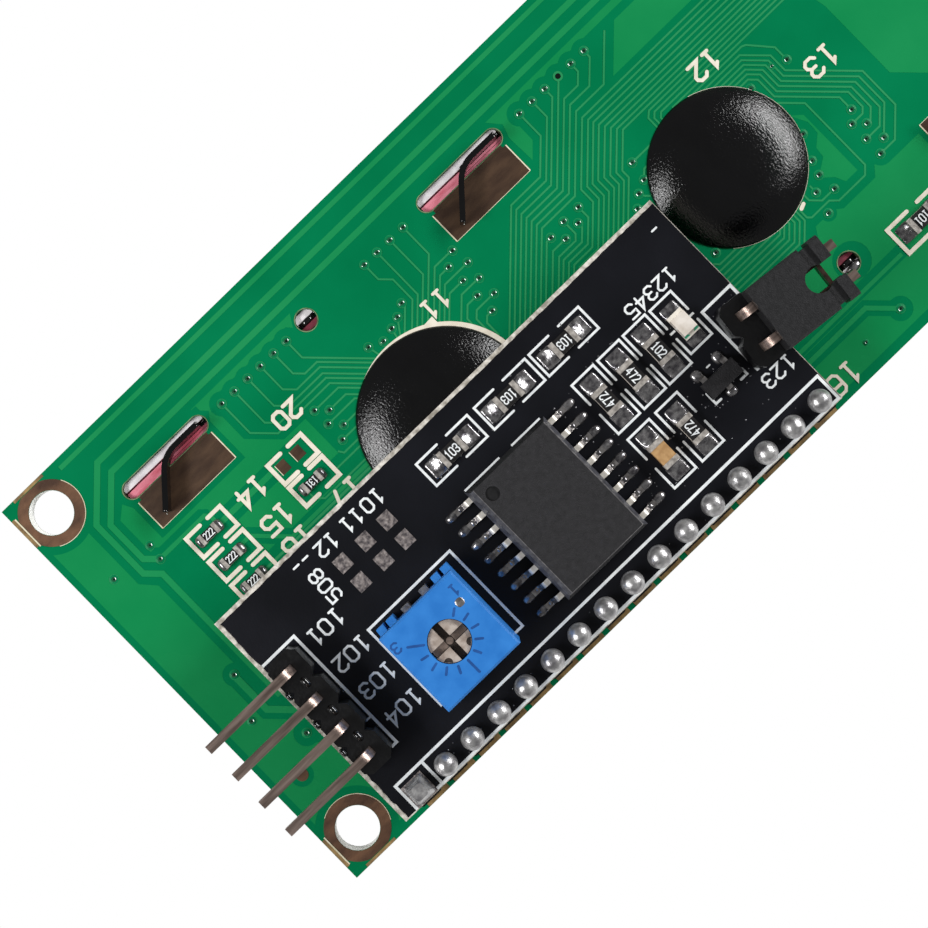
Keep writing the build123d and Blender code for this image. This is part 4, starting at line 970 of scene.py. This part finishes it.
# Rounded corners at the raised ends of the bezel's tabs
ends = Mound("tab_ends", TIN, "bezel")
TAB_TOP = TOP + 1.36
for x, y, upper in SLOTS:
    for along, across, size in ((3.32, 0.08, 0.13), (3.28, -0.1, 0.1), (-2.47, -2.79, 0.12),
                                (-2.39, -2.97, 0.09), (-2.51, -3.07, 0.1)):
        ends.dome(x + along, y + upper * across, TAB_TOP, size, size, 0.05, rows=3, columns=8)
ends.build()

# Solder: fillets at the ends of the chip parts, and domes at leads and small parts
joints = Mound("solder_fillets", SOLDER, "adapter_header_solder")
for x, y, along_y in ADAPTER_RESISTORS + [CAPACITOR]:
    for sign in (-1, 1):
        way = (0, sign) if along_y else (sign, 0)
        joints.fillet(x + way[0] * 0.95, y + way[1] * 0.95, ADAPTER_TOP, way, 1.15, 1.4, 0.52)
for sign in (-1, 1):
    joints.fillet(LED_X, LED_Y + sign * 0.95, ADAPTER_TOP, (0, sign), 0.75, 1.38, 0.33)
for x, y in DISPLAY_RESISTORS:
    for sign in (-1, 1):
        joints.dome(x + sign * 0.85, y, TOP, 0.66, 0.95, 0.36)
x, y = LARGE_RESISTOR
for sign in (-1, 1):
    joints.fillet(x + sign * 0.95, y, TOP, (sign, 0), 1.0, 1.35, 0.5)
for n in range(CHIP_LEADS):
    y = CHIP_Y + (n - (CHIP_LEADS - 1) / 2) * LEAD_PITCH
    for sign in (-1, 1):
        for out, length, width, lowest in ((5.42, 1.3, 0.66, 0.3), (4.72, 0.6, 0.6, 0.34)):
            height = random.uniform(lowest, lowest + 0.08)
            joints.dome(CHIP_X + sign * out, y, ADAPTER_TOP, length, width, height)
for x, y, length in ((1.4, -9.2, 0.95), (3.32, -9.24, 0.95), (2.42, -11.55, 0.8)):
    joints.dome(x, y, ADAPTER_TOP, length, 0.85, 0.3, (0, 1))
joints.dome(15.2, -11.6, TOP - 0.3, 1.3, 0.66, 0.4, (1, 0.1))
joints.dome(14.45, -11.78, TOP - 0.02, 0.6, 0.3, 0.12, (1, 0.2))
joints.build()

# Specks of flux about the joints made by hand
specks = Mound("flux_specks", FLUX, "adapter_header_solder")
for count, x0, x1, y0, y1 in (
    (46, -33.9, -30.9, -12.6, -2.8), (26, 4.8, 7.0, -11.5, -6.5), (30, 0.3, 4.4, -12.2, -8.6),
    (44, -6.2, 4.4, -14.0, -3.0), (26, -17.2, -0.9, -2.4, -0.1), (34, -30.0, 6.8, -16.9, -15.4),
    (30, -7.3, -5.4, -13.8, -3.9),
):
    for n in range(count):
        size = random.uniform(0.05, 0.13)
        spot = random.uniform(x0, x1), random.uniform(y0, y1)
        specks.dome(*spot, ADAPTER_TOP + 0.03, size, size, size * 0.35, rows=3, columns=8)
specks.build()

# Black glaze on the adapter's resistors
glaze = adapter_layer("resistor_glaze_faces", 0.55, 0.607, RESISTOR_GLAZE)
for x, y, along_y in ADAPTER_RESISTORS:
    reach_x, reach_y = (0.58, 0.67) if along_y else (0.67, 0.58)
    glaze.box(x - reach_x, x + reach_x, y - reach_y, y + reach_y)
glaze.build()

# Numbers on the resistors
adapter_words = [(*word, x, y) for word, (x, y, _) in zip(
    (("103", 0), ("103", 180), ("103", 180), ("472", 90), ("472", 270), ("102", 270), ("472", 90)),
    ADAPTER_RESISTORS)]
display_words = [(*word, x, y) for word, (x, y) in zip(
    (("222", 0), ("222", 0), ("222", 0), ("131", 180)), DISPLAY_RESISTORS)]
for name, words, level, height, width, slot in (
    ("adapter_numbers", adapter_words, ADAPTER_TOP + 0.61, 0.6, 0.09, "adapter_board"),
    ("display_numbers", display_words, TOP + 0.51, 0.46, 0.07, "lcd_board"),
    ("large_display_number", [("101", 180, *LARGE_RESISTOR)], TOP + 0.61, 0.6, 0.09, "lcd_board"),
):
    marks = Layer(name, level - 0.02, level + 0.03, WHITE_INK, slot=slot)
    for text, turn, x, y in words:
        write(marks, text, x, y, height, width, turn, 0.66)
    marks.build()

# Chip: painted highlights, as pale lines at the edges of its top and a paler strip inside the left
# one
line = adapter_layer("chip_top_edge_highlights", CHIP_HEIGHT, CHIP_HEIGHT + 0.058, CHIP_EDGE_HIGHLIGHT,
                     "expander_chip")
line.box(-15.02, -14.97, -13.66, -4.1)
line.box(-8.4, -8.34, -13.66, -4.1)
line.box(-15.2, -8.36, -13.69, -13.65)
line.build()
strip = adapter_layer("chip_side_highlight_strip", CHIP_HEIGHT, CHIP_HEIGHT + 0.054, CHIP_SIDE_HIGHLIGHT,
                      "expander_chip")
strip.box(-15.26, -15.02, -13.64, -4.1)
strip.build()

# Glossy lumps of flux in the waists of the bus plug's strip, and dark lenses in the nib holes
lumps = Mound("flux_lumps", LUMP_BLACK, "adapter_header_solder")
for n in range(3):
    for x, length, width in ((-32.0, 0.5, 0.9), (-33.5, 0.4, 0.7)):
        y = -5.46 - PITCH * n + random.uniform(-0.1, 0.1)
        lumps.dome(x, y, ADAPTER_TOP + 2.46, length, width, 0.3)
for x, y in NIBS:
    lumps.dome(x, y - copysign(0.06, y), TOP - 0.4, 1.0, 0.52, 0.34)
lumps.build()

# Power light: green marks at its cathode end
signs = adapter_layer("power_light_marks", 0.4, 0.44, LED_GREEN, "power_led")
for sign in (-1, 1):
    signs.polygon([(LED_X + sign * 0.61, LED_Y - 0.4), (LED_X + sign * 0.61, LED_Y - 0.88),
                   (LED_X + sign * 0.18, LED_Y - 0.88)])
signs.build()


# Trimmer: dial marks painted darker as the shade in their sunk grooves, a riveted stud, the metal
# seen between its lugs, and on its rotor painted shade in two notches and painted light along the
# floor of one slot and its hub

def on_dial(reach, angle):
    """A point at a distance and an angle in degrees from the middle of the dial."""
    a = radians(angle)
    return DIAL_X + reach * cos(a), DIAL_Y + reach * sin(a)


dial = adapter_layer("trimmer_marks", TRIMMER_HEIGHT, TRIMMER_HEIGHT + 0.03, TRIMMER_GROOVE_SHADE,
                     "trimmer_housing")
for n in range(11):
    reach = 2.8 if n in (5, 10) else 2.2
    dial.line([on_dial(r, 37.7 - 25.4 * n) for r in (1.72, reach)], 0.17, round_ends=True)
write(dial, "1", DIAL_X + 2.57, DIAL_Y + 2.24, 0.72, 0.13)
write(dial, "3", DIAL_X - 2.85, DIAL_Y + 2.14, 0.72, 0.13)
dial.build()
studs = Mound("trimmer_studs", TIN, "trimmer_pins")
studs.dome(DIAL_X + 2.29, DIAL_Y + 1.39, ADAPTER_TOP + TRIMMER_HEIGHT, 0.66, 0.66, 0.065)
studs.build()
clips = adapter_layer("trimmer_clips", 0.3, 1.7, TIN, "trimmer_pins")
clips.box(DIAL_X + 0.6, DIAL_X + 1.25, DIAL_Y + 3.3, DIAL_Y + 3.75)
clips.box(DIAL_X - 1.1, DIAL_X - 0.45, DIAL_Y + 3.3, DIAL_Y + 3.7)
clips.build()
notches = adapter_layer("rotor_notch_shade", 4.65, 4.668, ROTOR_SHADE, "trimmer_rotor", "trimmer_rotor")
for angle in (-44, -137):
    x, y = on_dial(1.4, angle)
    arc = [radians(angle + 90 + 18 * n) for n in range(11)]
    notches.polygon([(x + 0.3 * cos(t), y + 0.3 * sin(t)) for t in arc])
notches.build()
lit_floor = adapter_layer("rotor_lit_slot_floors", 4.09, 4.2, ROTOR_SLOT_LIGHT, "trimmer_rotor", "trimmer_rotor")
for sign in (-1, 1):
    lit_floor.box(DIAL_X + sign * 0.3, DIAL_X + sign * 1.38, DIAL_Y - 0.24, DIAL_Y + 0.24)
lit_floor.disc(DIAL_X, DIAL_Y, 0.26)
lit_floor.build()

# Display window: character cells seen faintly on the front film
CELL_PITCH, DOT_PITCH = (3.55, 5.95), (0.6, 0.7)
film = [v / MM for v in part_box("front_polarizer")]
cells = Layer("character_cells", film[0].z - 0.008, film[0].z + 0.02, CELL, slot="front_polarizer")
middle = (film[0] + film[1]) / 2
for row in (-0.5, 0.5):
    for column in range(16):
        for across in range(-2, 3):
            for up in range(8):
                x = middle.x + (column - 7.5) * CELL_PITCH[0] + across * DOT_PITCH[0]
                y = middle.y + row * CELL_PITCH[1] + (up - 3.5) * DOT_PITCH[1]
                cells.box(x - 0.27, x + 0.27, y - 0.32, y + 0.32)
cells.build()

# Blobs: domes that are flat in the middle and steeper towards the edge
for name, x, y, radius in BLOBS:
    rows, columns = 40, 96
    verts, faces = [(x * MM, y * MM, (TOP + BLOB_HEIGHT) * MM)], []
    for i in range(1, rows + 2):
        r = min(1, i / rows)
        rise = BLOB_EDGE + (BLOB_HEIGHT - BLOB_EDGE) * (1 - r ** 3.2) if i <= rows else 0
        turn = [2 * pi * j / columns for j in range(columns)]
        verts += [((x + radius * r * cos(a)) * MM, (y + radius * r * sin(a)) * MM,
                   (TOP + rise) * MM) for a in turn]
    for j in range(columns):
        k = (j + 1) % columns
        faces.append([0, 1 + j, 1 + k])
        for i in range(rows):
            inner, outer = 1 + i * columns, 1 + (i + 1) * columns
            faces.append([inner + j, outer + j, outer + k, inner + k])
    faces.append([1 + rows * columns + j for j in range(columns - 1, -1, -1)])
    blob = add_mesh(f"{name}_dome", verts, faces, EPOXY, smooth=True)
    blob.data.polygons[-1].use_smooth = False
    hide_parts(name)

# Camera above the back, turned as in the photograph
view = bpy.data.cameras.new("photo_camera")
view.lens = 75.744
view.sensor_width = 36.0
view.clip_start = 0.01
camera = bpy.data.objects.new("photo_camera", view)
camera.location = (-13.386 * MM, -3.058 * MM, 139.3 * MM)
camera.rotation_euler = (radians(-0.028), radians(0.451), radians(-44.234))
bpy.context.scene.collection.objects.link(camera)
bpy.context.scene.camera = camera


# Floor and studio light

def area(name, location, aim, size, size_y, watts):
    """A rectangular lamp that looks from its location at the aim."""
    light = bpy.data.lights.new(name, "AREA")
    light.shape = "RECTANGLE"
    light.size, light.size_y = size * MM, size_y * MM
    light.energy = watts
    added = bpy.data.objects.new(name, light)
    added.location = Vector(location) * MM
    way = Vector(aim) - Vector(location)
    added.rotation_euler = way.to_track_quat("-Z", "Y").to_euler()
    bpy.context.scene.collection.objects.link(added)


area("left_box", (-218, 70, 180), (-5, 0, 0), 170, 60, 0.62)
area("right_box", (262, -18, 158), (-5, 0, 0), 240, 54, 0.98)

floor_mesh = bpy.data.meshes.new("floor")
REACH, LEVEL = 900 * MM, -7.05 * MM
floor_corners = [(-REACH, -REACH, LEVEL), (REACH, -REACH, LEVEL), (REACH, REACH, LEVEL),
                 (-REACH, REACH, LEVEL)]
floor_mesh.from_pydata(floor_corners, [], [[0, 1, 2, 3]])
floor = bpy.data.objects.new("floor", floor_mesh)
bpy.context.scene.collection.objects.link(floor)
floor_paint = look("floor_paint", (238, 238, 238), (234, 234, 234), 30, (0.9, 0.95))
tree = floor_paint.node_tree
glow = fill(tree.nodes.new("ShaderNodeEmission"), Strength=1)
seen = tree.nodes.new("ShaderNodeLightPath")
mix = tree.nodes.new("ShaderNodeMixShader")
tree.links.new(seen.outputs["Is Camera Ray"], mix.inputs["Fac"])
tree.links.new(tree.nodes["Principled BSDF"].outputs["BSDF"], mix.inputs[1])
tree.links.new(glow.outputs["Emission"], mix.inputs[2])
tree.links.new(mix.outputs["Shader"], tree.nodes["Material Output"].inputs["Surface"])
floor_mesh.materials.append(floor_paint)

world = bpy.data.worlds.new("studio")
world.use_nodes = True
fill(world.node_tree.nodes["Background"], Color=(1, 1, 1, 1), Strength=0.18)
bpy.context.scene.world = world
bpy.context.scene.view_settings.view_transform = "Standard"
